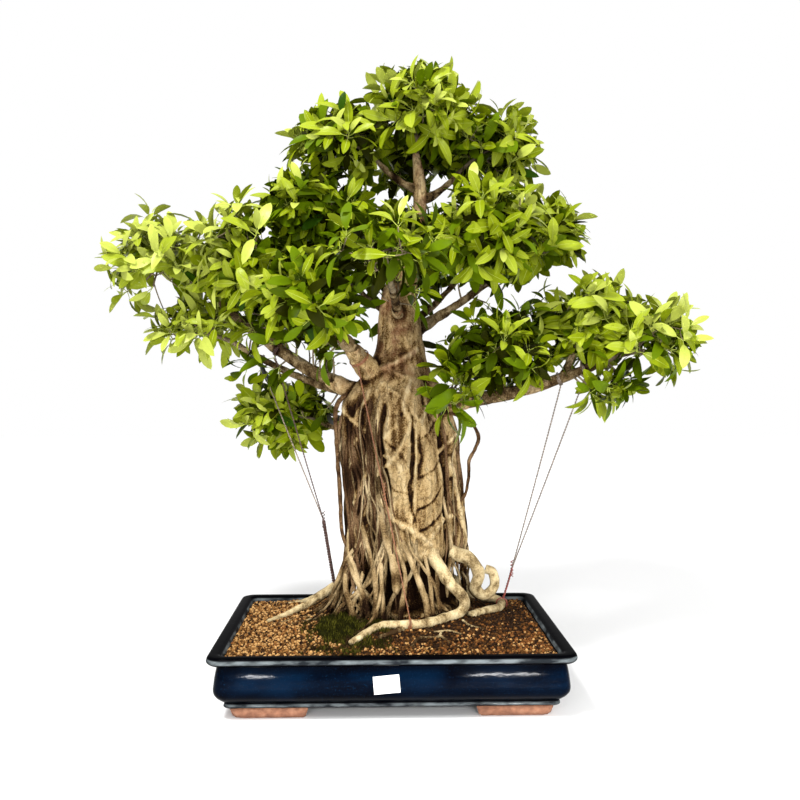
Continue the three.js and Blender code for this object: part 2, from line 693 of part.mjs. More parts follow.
// The stem goes on from its limb to the middle of the mass, and each twig grows to its place from the nearest
// bud on the wood that is there already.
function massSolid(name, start, heading) {
  const mass = MASSES[name];
  const random = stream(seedOf(mass));
  const limbsNear = occupiedIn(mass);
  const middle = vector(mass.centre);
  const bend = start.clone().addScaledVector(heading, STEM.bend * start.distanceTo(middle));
  const stem = new THREE.QuadraticBezierCurve3(start, bend, middle);
  const buds = STEM.buds.map((t) => ({ point: stem.getPoint(t), radius: mix(...STEM.radii, t) }));
  const tips = tipPlaces(mass, random).sort((a, b) => a.distanceTo(start) - b.distanceTo(start));
  const sprays = [];
  for (const tip of tips) {
    const away = (bud) => bud.point.distanceTo(tip);
    const bud = buds.reduce((best, other) => (away(other) < away(best) ? other : best));
    const inside = TWIG.tested.every((t) => inSpace(name, bud.point.clone().lerp(tip, t), TWIG.margin));
    const spray = inside && spraySolid(name, bud, tip, random, limbsNear, sprays);
    if (!spray) continue;
    sprays.push(spray);
    TWIG.buds.forEach((t) => {
      buds.push({ point: bud.point.clone().lerp(tip, t), radius: mix(TWIG.share * bud.radius, TWIG.tip, t) });
    });
  }
  const wood = solidOf(limbGeometry(stem, taper(STEM.radii), STEM.sides, STEM.steps));
  return largest(join([wood, ...sprays]));
}

for (const name of Object.keys(MASSES)) {
  const bough = Object.values(limbs).find((limb) => limb.mass === name);
  const heading = bough ? bough.curve.getTangent(1) : new THREE.Vector3(0, 0, 1);
  const tip = bough ? bough.curve.getPoint(1) : trunkMiddle.getPoint(1);
  node(name, geometryOf(massSolid(name, tip.addScaledVector(heading, GAP), heading)), "leaf");
}

export default tree;
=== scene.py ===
import math
from collections import namedtuple

import bmesh
import bpy
import numpy as np
from mathutils import Euler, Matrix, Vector, noise
from mathutils.bvhtree import BVHTree


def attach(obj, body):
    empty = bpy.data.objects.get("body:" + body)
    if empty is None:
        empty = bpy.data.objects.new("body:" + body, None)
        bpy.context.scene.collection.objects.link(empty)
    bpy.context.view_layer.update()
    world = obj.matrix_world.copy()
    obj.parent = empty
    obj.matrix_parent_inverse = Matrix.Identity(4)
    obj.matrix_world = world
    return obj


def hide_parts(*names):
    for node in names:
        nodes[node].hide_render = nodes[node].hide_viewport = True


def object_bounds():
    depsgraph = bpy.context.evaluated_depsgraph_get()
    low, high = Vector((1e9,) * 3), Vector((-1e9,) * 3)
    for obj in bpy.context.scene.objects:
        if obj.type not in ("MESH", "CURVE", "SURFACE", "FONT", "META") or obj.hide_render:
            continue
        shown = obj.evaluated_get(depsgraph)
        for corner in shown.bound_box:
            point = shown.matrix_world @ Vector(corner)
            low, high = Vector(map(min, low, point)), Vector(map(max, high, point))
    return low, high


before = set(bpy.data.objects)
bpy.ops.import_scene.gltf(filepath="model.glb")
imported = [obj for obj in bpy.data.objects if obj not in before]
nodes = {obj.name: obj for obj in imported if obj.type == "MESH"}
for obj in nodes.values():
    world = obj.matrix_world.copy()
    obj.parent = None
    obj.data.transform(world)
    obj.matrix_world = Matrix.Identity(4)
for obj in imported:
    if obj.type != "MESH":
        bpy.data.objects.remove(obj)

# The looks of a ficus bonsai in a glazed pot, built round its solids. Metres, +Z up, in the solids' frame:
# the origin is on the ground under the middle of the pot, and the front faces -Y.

cad_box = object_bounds()

# Driving dimensions

# The photo's camera, as fitted to the pot's corners: angles in degrees, focal length and frame in pixels.
CAMERA = {"place": (-0.030, -1.640, 0.548), "yaw": 1.65, "pitch": 1.27, "focal_px": 904, "frame_px": 800,
          "sensor": 36, "nearest": 0.01}

# Lamps: name, place, target, size and power in watts. The strips make the highlights on the glaze.
LAMPS = [
    ("key", (-1.0, -1.3, 2.6), (0.02, 0.05, 0.65), (0.5, 0.5), 105),
    ("fill", (1.5, -1.5, 1.9), (0.05, 0.0, 0.5), (0.6, 0.6), 30),
    ("rim_strip", (0.0, -1.9, 0.70), (0.0, -0.2, 0.1), (2.0, 0.018), 15),
    ("left_strip", (-0.365, -0.95, 0.11), (-0.25, -0.2, 0.08), (0.07, 0.025), 2.4),
    ("right_strip", (0.33, -0.95, 0.11), (0.20, -0.2, 0.08), (0.18, 0.025), 5.8),
]

# The floor is white far off and a little greyer round the pot.
FLOOR = {"size": 14, "far": 3.0, "rim": (1.0, 1.0, 1.0), "middle": (0.78, 0.78, 0.78), "greyest": 0.8}

# The pot: its widest line, and its section as (inset from that line, height), as in the solids.
POT = {"length": 0.600, "width": 0.440, "height": 0.108, "corner": 0.026, "shrink": 0.6,
       "least_corner": 0.005, "corner_steps": 9, "sharp": 50}
POT_FOOT = [(0.031, 0.019), (0.026, 0.022), (0.028, 0.028)]
POT_BODY = [(0.028, 0.028), (0.016, 0.038), (0.011, 0.048), (0.012, 0.062), (0.014, 0.076), (0.017, 0.090)]
POT_RIM = [(0.017, 0.090), (0.004, 0.094), (0.000, 0.099), (0.003, 0.108), (0.020, 0.108)]
POT_INSIDE = [(0.025, 0.103), (0.028, 0.090), (0.031, 0.060), (0.042, 0.034)]
POT_FILLET = {"foot": 0.002, "rim": 0.004, "steps": 4, "most": 0.45, "body_steps": 20}
RIM_EDGE = POT_RIM[2][1]
FEET = {"merge": 1e-5, "flat": 2, "edge": 0.0025, "edge_steps": 3}
LABEL = {"centre": (-0.010, 0.062), "size": (0.042, 0.028), "tilt": 5, "lift": 0.0004, "steps": 8}

# The glaze darkens towards the foot and the rim between these heights, and pale bands on their edges are a
# painted reflection of light.
GLAZE = {"specular": 0.024, "rim_specular": 0.002, "dark_foot": (0.030, 0.056), "dark_rim": (0.078, 0.0965)}
GLAZE_PAINTED_SHEEN = [(0.021, 0), (0.023, 1), (0.0255, 1), (0.0275, 0),
              (0.097, 0), (0.0985, 1), (0.103, 1), (0.105, 0)]

# Rows of the trunk from the soil to its tip: height, x, y, half size across and half size in depth.
TRUNK = [
    (0.108, 0.025, 0.075, 0.122, 0.094),
    (0.160, 0.022, 0.075, 0.112, 0.087),
    (0.235, 0.027, 0.075, 0.107, 0.084),
    (0.311, 0.026, 0.075, 0.103, 0.082),
    (0.389, 0.020, 0.075, 0.103, 0.080),
    (0.465, 0.013, 0.075, 0.104, 0.078),
    (0.520, 0.012, 0.075, 0.090, 0.074),
    (0.560, 0.014, 0.075, 0.064, 0.060),
    (0.605, 0.019, 0.074, 0.046, 0.045),
    (0.660, 0.018, 0.072, 0.040, 0.039),
    (0.705, 0.018, 0.070, 0.033, 0.033),
    (0.745, 0.026, 0.069, 0.028, 0.028),
    (0.800, 0.038, 0.068, 0.022, 0.022),
    (0.860, 0.055, 0.067, 0.014, 0.014),
    (0.910, 0.056, 0.066, 0.012, 0.012),
    (0.972, 0.049, 0.062, 0.007, 0.007),
]
FLUTES = {"lobes": 5, "depth": 0.07, "phase": 0.6, "end": 0.620, "fade": 0.120}
FINE_FLUTES = {"lobes": 8, "depth": 0.035, "twist": 6}
TRUNK_MESH = {"profile": 400, "rows": 420, "sides": 240, "voxel": 0.0028, "passes": 1, "widest": 0.98}

# Layers of relief on the bark: fineness, stretch along the height and height. They are lower on thin wood.
BARK_LAYERS = [(28, 0.55, 0.0028), (120, 0.16, 0.0016), (300, 0.7, 0.0007)]
BARK_FULL = {"half_size": 0.06, "least": 0.25}

# Tones of the bark from 0 to 1: darker in hollows and clefts as painted shade, on the left for its darker roots
# and painted shade together, high up under the crown as painted shade, and off the trunk. Each edge is a place
# and the width over which the tone changes past it.
TONES = {"plain": 0.52, "front": 0.05, "cleft_shade": 0.6, "left": 0.30, "high": 0.24, "off": 0.20}
TONE_EDGES = {"left": (-0.010, -0.05), "left_top": (0.53, -0.05), "front": (0.06, -0.05), "high": (0.70, 0.10),
              "off": (1.10, 0.3)}
# The bark's hollows are darkened as painted shade: the passes that find them, and the depth that takes full
# shade off the front and on it.
HOLLOW_SHADE = {"passes": 24, "depths": (0.0042, 0.0065)}

# Deep clefts in the trunk: angle at the foot and at the top in degrees, foot, top, depth and half width.
CLEFTS = [
    (-112, -106, 0.260, 0.515, 0.012, 0.0055),
    (-36, -32, 0.240, 0.520, 0.012, 0.0050),
    (8, 16, 0.220, 0.500, 0.014, 0.0060),
    (58, 50, 0.240, 0.480, 0.016, 0.0055),
    (96, 104, 0.230, 0.520, 0.016, 0.0060),
    (150, 140, 0.220, 0.500, 0.014, 0.0060),
    (196, 190, 0.240, 0.510, 0.014, 0.0060),
]
# Clefts and creases are darkened as painted shade, fully at the darkest depth.
CLEFT = {"wobble": 0.05, "wobbles": 40, "ends": 0.15, "darkest": 0.011}

# Creases between the plates on the trunk's front: depth, half width, and (x, height) seen from the front.
CREASES = [
    (0.012, 0.0024, [(0.036, 0.480), (0.040, 0.420), (0.036, 0.350), (0.041, 0.292)]),
    (0.005, 0.0016, [(0.050, 0.450), (0.054, 0.410), (0.050, 0.370)]),
    (0.003, 0.0017, [(0.052, 0.440), (0.070, 0.450), (0.094, 0.472)]),
    (0.004, 0.0018, [(0.053, 0.371), (0.080, 0.384), (0.112, 0.408)]),
    (0.004, 0.0018, [(0.050, 0.313), (0.082, 0.330), (0.118, 0.368)]),
    (0.004, 0.0020, [(0.040, 0.268), (0.066, 0.280), (0.100, 0.302), (0.122, 0.322)]),
    (0.003, 0.0016, [(-0.026, 0.505), (0.002, 0.480), (0.030, 0.492)]),
    (0.003, 0.0016, [(-0.020, 0.445), (0.004, 0.425), (0.030, 0.400)]),
    (0.003, 0.0016, [(-0.022, 0.372), (0.006, 0.350), (0.034, 0.340)]),
    (0.003, 0.0018, [(0.060, 0.520), (0.066, 0.490), (0.084, 0.470)]),
]
CREASE = {"scale": 55, "wander": 0.0045, "vary": 0.8}

# The foot of the trunk is eaten in behind the roots that stand round it, and darkened there with painted shade.
UNDERCUT = {"low": 0.112, "low_fade": 0.03, "high": 0.235, "high_fade": 0.06, "share": 0.40, "dark": 1.5}

# The thick foot of each bough on the trunk: how far it reaches along the bough, and its share of its radius.
COLLAR = {"length": 0.090, "swell": 1.3, "end": 0.80, "thin": 0.008, "thick": 0.020, "sides": 18,
          "lumps": 0.12}

# Roots fused across the front of the trunk: radius, and (x, height) seen from the front.
BANDS = [
    (0.0062, [(-0.020, 0.566), (0.012, 0.580), (0.050, 0.606)]),
    (0.0034, [(-0.012, 0.572), (0.012, 0.560), (0.030, 0.552)]),
    (0.0050, [(0.036, 0.548), (0.024, 0.505), (0.034, 0.470), (0.020, 0.430), (-0.002, 0.396)]),
    (0.0028, [(-0.018, 0.545), (0.010, 0.524), (0.032, 0.508)]),
    (0.0030, [(-0.014, 0.440), (0.012, 0.468)]),
    (0.0030, [(-0.018, 0.385), (0.014, 0.410)]),
    (0.0032, [(-0.020, 0.412), (0.006, 0.404), (0.020, 0.384)]),
    (0.0058, [(-0.020, 0.330), (0.010, 0.292), (0.040, 0.275), (0.074, 0.246)]),
    (0.0046, [(0.060, 0.545), (0.066, 0.505), (0.052, 0.470)]),
    (0.0034, [(0.098, 0.520), (0.086, 0.478), (0.060, 0.452)]),
    (0.0036, [(0.126, 0.300), (0.096, 0.284), (0.060, 0.250)]),
    (0.0040, [(0.043, 0.470), (0.045, 0.400), (0.043, 0.340), (0.038, 0.290)]),
]
BAND = {"points": 30, "sides": 10, "lumps": 0.15, "sink": 0.25}

# Roots grown into the trunk at a slant by a seeded rule: how many, where they start, how far down they run and
# turn about the trunk, their radius, how deep they sink along the way, and the angles with few of them.
STRAPS = {"seed": 41, "count": 84, "top": (0.20, 0.555), "drop": (0.05, 0.22), "turn": (0.1, 1.1),
          "radius": (0.0028, 0.0072), "sunk": (1.6, 0.35, 0.2, 0.35, 1.6), "wander": 0.06, "clear": (-112, -24),
          "kept": 0.05, "points": 24, "lumps": 0.2}

# Pale roots that stand in front of the trunk's foot: radius, and (x, height) seen from the front.
FRONT_STILTS = [
    (0.0072, [(-0.026, 0.320), (-0.006, 0.255), (0.008, 0.210), (0.011, 0.165)]),
    (0.0052, [(-0.052, 0.300), (-0.040, 0.235), (-0.030, 0.165), (-0.032, 0.116)]),
    (0.0042, [(-0.030, 0.260), (-0.020, 0.205), (-0.018, 0.160), (-0.014, 0.114)]),
    (0.0045, [(-0.088, 0.290), (-0.066, 0.220), (-0.050, 0.160), (-0.042, 0.114)]),
    (0.0058, [(0.018, 0.265), (0.040, 0.210), (0.060, 0.155), (0.066, 0.114)]),
    (0.0040, [(0.058, 0.235), (0.070, 0.175), (0.076, 0.114)]),
    (0.0036, [(0.076, 0.240), (0.084, 0.175), (0.090, 0.114)]),
    (0.0044, [(0.010, 0.250), (0.026, 0.190), (0.016, 0.114)]),
    (0.0048, [(-0.070, 0.270), (-0.072, 0.190), (-0.058, 0.114)]),
    (0.0036, [(0.104, 0.330), (0.118, 0.240), (0.108, 0.150)]),
]
FRONT_STILT = {"points": 28, "sink": -0.6, "off": 0.020, "off_from": (0.24, -0.12), "sunk": (3.0, 2.0, 0.8),
               "free": 0.132, "blunt": (0.92, 0.75, 0.35)}

# Roots dealt out round the trunk by a seeded rule: how many, from which angles in degrees, where they start and
# end, their radius, how far they stand off, how far they turn about the trunk and which way they lean.
CURTAINS = [
    {"seed": 3, "count": 84, "angles": (158, 252), "top": (0.36, 0.545), "foot": (0.125, 0.25),
     "radius": (0.0011, 0.0036), "off": (-0.001, 0.008), "drift": 0.42, "lean": 0.16},
    {"seed": 8, "count": 12, "angles": (-34, 10), "top": (0.40, 0.50), "foot": (0.15, 0.26),
     "radius": (0.0013, 0.0036), "off": (0.000, 0.006), "drift": 0.30, "lean": 0.0},
    {"seed": 5, "count": 40, "angles": (10, 158), "top": (0.34, 0.52), "foot": (0.13, 0.25),
     "radius": (0.0014, 0.0044), "off": (-0.001, 0.005), "drift": 0.6, "lean": 0.0},
]
STILTS = {"seed": 21, "count": 46, "angles": (-40, 290), "top": (0.18, 0.33), "foot": (0.104, 0.112),
          "radius": (0.0018, 0.0046), "off": (0.000, 0.004), "drift": 0.95, "lean": 0.0}
STILT_FLARE = (0.008, 0.034)
DEALT = {"steps": 7, "points": 26, "wander": 0.07, "vary": (-0.4, 0.6), "sunk": 2.5, "thin": 1.8, "turn": 1.4,
         "flare": 2.2}

# Thin roots that fan out over the soil on the left.
FAN = {"seed": 31, "count": 24, "angles": (165, 250), "top": (0.14, 0.20), "length": (0.04, 0.13),
       "bend": 0.4, "bend_at": 0.4, "bend_drop": 0.65, "radius": (0.0014, 0.0036), "foot": 0.098, "points": 18,
       "lift": 0.3, "sunk": 2}

# Small pale roots that lie on the soil in front: radius, and (x, y).
ROOTLETS = [
    (0.0032, [(0.034, -0.139), (0.048, -0.108), (0.078, -0.106), (0.088, -0.078)]),
    (0.0026, [(0.084, -0.100), (0.090, -0.112), (0.097, -0.126)]),
    (0.0052, [(0.020, -0.072), (-0.002, -0.092), (-0.020, -0.104)]),
    (0.0024, [(0.060, -0.070), (0.074, -0.084), (0.100, -0.080), (0.122, -0.094)]),
    (0.0022, [(0.128, -0.030), (0.140, -0.060), (0.166, -0.074)]),
    (0.0026, [(-0.050, -0.020), (-0.092, -0.010), (-0.140, 0.000), (-0.190, -0.020)]),
    (0.0022, [(-0.046, -0.006), (-0.100, 0.012), (-0.160, 0.020), (-0.215, 0.008)]),
]
ROOTLET = {"points": 24, "lift": 0.55, "sunk": 1.5}

# Tubes of the thin roots: their thickness at both ends, sides, lumps and the fineness of those.
ROOT_TUBES = {
    "hanging": ((1.15, 0.8), 7, 0.3, 90),
    "front": ((0.8, 1.15), 10, 0.25, 70),
    "stilt": ((0.9, 1.15), 8, 0.3, 70),
    "fan": ((1.2, 0.5), 7, 0.25, 60),
    "rootlet": ((1.1, 0.7), 8, 0.3, 90),
}

# Tones of the thin roots: the shares of them in each colour, and how light they are from 0 to 1. The standing
# roots are darkened at their foot as painted shade.
HANGING = {"pale": 0.24, "tone": 0.5, "mottle": 0.5, "scale": 45, "stretch": (1, 1, 0.4)}
STANDING = {"plain_stilts": 0.5, "dark_fan": 0.6, "tone": 0.54, "mottle": 0.45, "scale": 40, "foot": 0.42,
            "foot_from": (0.185, -0.075)}

# Roots that lie apart from the trunk: radius at both ends and the points they pass, as in the solids.
ROOTS = {
    "root_front": ((0.012, 0.006), [
        (0.058, 0.020, 0.258), (0.101, -0.016, 0.190), (0.131, -0.016, 0.154), (0.130, -0.014, 0.132),
        (0.104, -0.030, 0.123), (0.058, -0.062, 0.120), (0.014, -0.066, 0.119), (-0.020, -0.066, 0.117),
        (-0.046, -0.094, 0.112), (-0.068, -0.130, 0.106)]),
    "root_right": ((0.009, 0.007), [
        (0.120, 0.082, 0.165), (0.168, 0.100, 0.132), (0.205, 0.126, 0.118), (0.219, 0.112, 0.113),
        (0.206, 0.072, 0.113), (0.172, 0.030, 0.117), (0.144, -0.002, 0.118)]),
    "root_curl": ((0.013, 0.008), [
        (0.112, 0.040, 0.226), (0.148, 0.032, 0.214), (0.164, 0.030, 0.188), (0.160, 0.034, 0.160),
        (0.176, 0.040, 0.145), (0.196, 0.046, 0.160), (0.194, 0.052, 0.186), (0.180, 0.054, 0.192)]),
    "root_left": ((0.009, 0.004), [
        (-0.070, 0.070, 0.182), (-0.120, 0.072, 0.146), (-0.160, 0.066, 0.122), (-0.195, 0.052, 0.108),
        (-0.228, 0.026, 0.101)]),
    "root_left_back": ((0.008, 0.004), [
        (-0.070, 0.105, 0.175), (-0.120, 0.128, 0.138), (-0.165, 0.142, 0.112), (-0.205, 0.150, 0.102)]),
    "aerial_root_left": ((0.0045, 0.0035), [
        (-0.070, 0.058, 0.528), (-0.099, 0.040, 0.500), (-0.099, 0.036, 0.430), (-0.093, 0.032, 0.340),
        (-0.088, 0.028, 0.262), (-0.066, 0.036, 0.215)]),
    "aerial_root_right": ((0.0035, 0.003), [
        (0.100, 0.052, 0.492), (0.146, 0.038, 0.472), (0.164, 0.034, 0.444), (0.158, 0.034, 0.420),
        (0.147, 0.034, 0.398), (0.146, 0.036, 0.366), (0.138, 0.042, 0.330), (0.112, 0.060, 0.306)]),
}

# Spaces of the masses of leaves: the middle and the half sizes of each, as in the solids.
MASSES = {
    "apex_left": ((-0.090, 0.070, 1.000), (0.128, 0.130, 0.086)),
    "apex_top": ((0.058, 0.040, 1.050), (0.122, 0.142, 0.104)),
    "apex_right": ((0.198, 0.082, 0.988), (0.114, 0.128, 0.096)),
    "apex_back": ((0.070, 0.205, 1.000), (0.150, 0.105, 0.095)),
    "mid_left": ((-0.140, 0.050, 0.870), (0.126, 0.125, 0.092)),
    "mid_right": ((0.172, -0.025, 0.820), (0.114, 0.128, 0.104)),
    "right_high": ((0.300, 0.085, 0.812), (0.094, 0.120, 0.108)),
    "front_centre": ((-0.010, -0.176, 0.748), (0.114, 0.144, 0.090)),
    "front_left": ((-0.140, -0.118, 0.690), (0.104, 0.120, 0.090)),
    "left_outer": ((-0.446, 0.112, 0.770), (0.140, 0.132, 0.128)),
    "left_inner": ((-0.264, 0.040, 0.775), (0.124, 0.135, 0.112)),
    "left_low": ((-0.368, 0.125, 0.640), (0.142, 0.115, 0.092)),
    "right_inner": ((0.205, 0.015, 0.606), (0.130, 0.125, 0.092)),
    "right_mid": ((0.362, 0.020, 0.655), (0.118, 0.138, 0.106)),
    "right_outer": ((0.467, -0.045, 0.600), (0.118, 0.118, 0.104)),
    "low_left": ((-0.208, 0.165, 0.478), (0.126, 0.098, 0.084)),
    "sprig": ((0.104, -0.084, 0.535), (0.064, 0.060, 0.084)),
    "back_centre": ((0.024, 0.216, 0.815), (0.150, 0.098, 0.110)),
    "back_left": ((-0.195, 0.220, 0.838), (0.130, 0.094, 0.098)),
    "back_right": ((0.225, 0.218, 0.830), (0.130, 0.094, 0.102)),
}

# Boughs: name, parent, height on the trunk or share along the parent, mass, share of the way to its middle,
# bow, and the radius at both ends, as in the solids.
BOUGHS = [
    ("left_main", "trunk", 0.500, "left_outer", 0.74, (0, -0.020, -0.028), (0.017, 0.007)),
    ("left_low", "trunk", 0.508, "left_low", 0.78, (0, 0.008, -0.020), (0.009, 0.0055)),
    ("left_inner", "left_main", 0.62, "left_inner", 0.42, (0, -0.008, 0), (0.008, 0.0055)),
    ("upright", "trunk", 0.505, "front_left", 0.74, (-0.022, 0.012, 0.026), (0.024, 0.008)),
    ("mid_left", "trunk", 0.790, "mid_left", 0.52, (0, 0, 0.006), (0.009, 0.005)),
    ("mid_right", "trunk", 0.765, "mid_right", 0.5, (0, 0, 0.005), (0.009, 0.005)),
    ("front", "trunk", 0.650, "front_centre", 0.55, (0, 0, 0.008), (0.011, 0.006)),
    ("apex_left", "trunk", 0.905, "apex_left", 0.52, (0, 0, -0.008), (0.007, 0.0045)),
    ("apex_right", "trunk", 0.885, "apex_right", 0.52, (0, 0, -0.008), (0.007, 0.0045)),
    ("apex_back", "trunk", 0.890, "apex_back", 0.5, (0, 0, -0.006), (0.007, 0.0045)),
    ("rear", "trunk", 0.495, "back_centre", 0.78, (0.034, 0, -0.010), (0.024, 0.008)),
    ("right_high", "rear", 0.6, "right_high", 0.66, (0, -0.008, -0.004), (0.010, 0.0055)),
    ("back_left", "rear", 0.6, "back_left", 0.5, (0, 0, -0.006), (0.007, 0.005)),
    ("back_right", "rear", 0.68, "back_right", 0.5, (0, 0, -0.006), (0.007, 0.005)),
    ("right_low", "trunk", 0.505, "right_outer", 0.82, (0, 0, -0.025), (0.019, 0.007)),
    ("right_inner", "right_low", 0.5, "right_inner", 0.5, (0, 0, 0), (0.0065, 0.005)),
    ("right_mid", "right_low", 0.8, "right_mid", 0.5, (0, 0, 0), (0.0065, 0.005)),
    ("low_left", "trunk", 0.440, "low_left", 0.68, (0, 0.006, -0.008), (0.009, 0.005)),
    ("sprig", "right_low", 0.24, "sprig", 0.5, (0, 0, 0.006), (0.005, 0.004)),
]

# Looks of the limbs, and the layers of their bark.
LIMB_LOOKS = {
    "bough": {"material": "bough", "slot": "bark", "sides": 16, "lumps": 0.24, "collar": 0.45, "tone": 0.40,
              "mottle": 0.42},
    "root": {"material": "pale_root", "slot": "root", "sides": 14, "lumps": 0.18, "collar": 0.15, "tone": 0.50,
             "mottle": 0.20},
    "aerial": {"material": "curtain", "slot": "root", "sides": 8, "lumps": 0.18, "collar": 0.15, "tone": 0.50,
               "mottle": 0.20},
}
LIMB = {"bough_points": 65, "root_points": 97, "collar": 0.035, "lump_scale": 48, "fibre_scale": 105,
        "fibres": 0.0009, "fibre_tone": 0.30, "mottle_scale": 40}

# Twigs. The first round of tips is the source's own; the later rounds carry its rule on to finer twigs.
STEM = {"bend": 0.45, "buds": (0.3, 0.55, 0.8, 0.97), "radii": (0.0046, 0.0026), "points": 24, "sides": 7,
        "lumps": 0.2, "up": (0.0, 0.0, 1.0), "bud_steps": 100}
SEEDS = {"source": (7, 13, 4001), "looks": 500}
TWIG = {"share": 0.75, "buds": (0.5, 0.85), "margin": 0.05, "tested": (0.4, 0.6, 0.8, 1.0), "bow": 0.10,
        "least": 0.008, "points": 6, "sides": 5, "along": 0.50, "outward": 0.55, "up": (0, 0, 0.48)}
TIPS = {"leaf_room": 0.6, "least_reach": 0.35}
# A round's inner adds painted shade to the greens of its sprays.
ROUNDS = [
    {"spacing": 0.040, "reach": (0.82, 1.0), "leaf": 0.118, "tip": 0.0018, "fine": False, "inner": 0.6,
     "holes": -1},
    {"spacing": 0.0066, "reach": (0.25, 0.62), "leaf": 0.050, "tip": 0.0014, "fine": True, "inner": 1.6,
     "holes": -1},
    {"spacing": 0.0024, "reach": (0.50, 1.02), "leaf": 0.056, "tip": 0.0011, "fine": True, "inner": 0.12,
     "holes": -0.20},
]
LUMPS = {"scale": 9, "size": 0.42}
HOLE_SCALE = 15
GOLDEN_ANGLE = math.pi * (3 - math.sqrt(5))

# Masses that the photo shows thinner: the share of their sprays that is left.
FULLNESS = {"left_low": 0.45, "low_left": 0.75, "left_outer": 0.58, "right_outer": 0.75, "right_mid": 0.8,
            "right_high": 0.8, "apex_left": 0.75, "apex_right": 0.75, "apex_top": 0.8, "sprig": 0.24,
            "right_inner": 0.8, "front_centre": 0.75, "left_inner": 0.82, "front_left": 0.85}

# Masses on the outside of the crown: the share of their space in which the finer twigs end, on the side that
# looks away from the crown's middle.
CROWN_MIDDLE = (0.02, 0.05, 0.78)
REACH = {"apex_top": 0.72, "apex_left": 0.76, "apex_right": 0.80, "apex_back": 0.84, "right_high": 0.70,
         "mid_left": 0.84, "left_outer": 0.78, "right_mid": 0.84, "right_outer": 0.80, "low_left": 0.88,
         "sprig": 0.8}

# Masses with no fine twigs low down: the lowest heading of their tips, from -1 straight down to 1 straight up.
LOWEST = {"front_centre": -0.35, "right_outer": -0.30, "right_high": -0.5, "left_low": -0.45}

# Places where the photo shows sky through the crown: pixel across, pixel down, and radius in pixels.
SKY_GAPS = [(162, 290, 15), (266, 232, 10), (441, 187, 12), (343, 179, 8), (302, 358, 15), (275, 356, 12),
            (563, 280, 12)]

# Sprays that grow straight from a bough: the shares of it between which they stand, their count and how far
# they turn up or down.
BOUGH_SPRAYS = {
    "left_main": ((0.32, 0.75), 14, 0.6),
    "upright": ((0.62, 0.95), 8, 0.6),
    "left_low": ((0.35, 0.95), 9, 0.2),
    "left_inner": ((0.1, 0.9), 10, -0.3),
    "right_low": ((0.84, 1.0), 12, -1.2),
    "right_high": ((0.55, 0.95), 6, 0.3),
    "rear": ((0.55, 0.95), 6, 0.3),
    "front": ((0.45, 0.95), 6, 0.6),
}
# Their inner adds painted shade to the greens of their sprays.
BOUGH_SPRAY = {"seed": 61, "length": (0.018, 0.052), "radii": (0.0022, 0.0012), "inner": 0.9, "turn": 1.6,
               "ahead": 0.4, "bow": 0.006}

# Leaves: rows along the blade as (share of the length, share of the half width), and the sizes of a spray.
LEAF = {"length": (0.035, 0.056), "width": 0.39, "vary": (0.82, 1.15), "stalk": 0.012,
        "stalk_radii": (0.0009, 0.0007), "arch": (0.12, 0.60), "rise": 0.12, "fold": (0.10, 0.55),
        "twist": 0.35, "tilt": 0.6, "edge": 1.2, "box_room": 0.004}
LEAF_ROWS = [(0.10, 0.38), (0.30, 0.80), (0.53, 1.0), (0.75, 0.88), (0.91, 0.50)]
RIB = {"half": 0.0006, "lift": 0.0003, "taper": 0.8, "stations": (0.0, 0.25, 0.5, 0.75, 0.93)}
STALK_SIDES = 3

# A whorl has old leaves and a few young ones: how many, their spread in degrees, their size, how far ahead they
# stand and their step to a darker green. Older leaves stand on the twig's sides.
WHORL = [((3, 5), (36, 88), 1.0, 0.0, 0), ((1, 2), (8, 32), 0.82, 0.004, -1)]
WHORL_TURN = (0.8, 1.2)
SIDE_LEAF = {"count": (0, 2), "place": (0.45, 0.9), "ahead": 0.5, "up": (0, 0, 0.25), "size": 0.85, "step": 1}

# Masses that the photo shows in brighter greens, in steps of the score below, and masses with larger leaves.
TINT = {"left_outer": -0.5, "left_inner": -0.4, "left_low": -0.4, "low_left": -0.5, "sprig": -0.2}
LARGE_LEAVES = {"sprig": 1.25}

# The score of a spray's green, which paints light and shade: painted shade where masses lie ahead and above and
# in the middle below the apex, painted light to the left, outside and high up. Each edge is a place and the
# width over
# which the score changes past it: in the masses' spaces ahead and above, and at distances to the left, outside
# and below.
SHELTER = {"ahead": 0.075, "ahead_edge": (1.25, -0.35), "above": 0.11, "above_edge": (1.15, -0.3),
           "above_share": 0.7, "share": 0.62}
LIGHT = {"left": 1.2, "left_edge": (-0.20, -0.2), "outer": 1.1, "outer_edge": (0.15, 0.2), "middle": 0.4,
         "middle_edge": (0.93, -0.1), "high": 3.0, "high_from": 0.70, "vary": 0.5}
GREEN_STEPS = (-1.1, 0.1, 0.9, 1.7, 2.6)

# Plain base colours of the leaves, painted light and shade from the sunlit outside of the crown to its shaded
# inside, and of old leaves.
GREENS = {
    "leaf_lime": (0.295, 0.334, 0.050),
    "leaf_bright": (0.206, 0.250, 0.012),
    "leaf_fresh": (0.142, 0.180, 0.003),
    "leaf_mid": (0.068, 0.108, 0.0012),
    "leaf_deep": (0.029, 0.046, 0.0006),
    "leaf_shade": (0.012, 0.014, 0.0003),
    "leaf_dark": (0.014, 0.038, 0.001),
}
SHEEN = {"leaf_lime": 0.12, "leaf_bright": 0.09, "leaf_fresh": 0.045}
DULL = 0.022
OLD_GREEN = list(GREENS).index("leaf_dark")
OLD_CHANCE = 0.006
DARKER_CHANCE = 0.3
RIBBED = 3

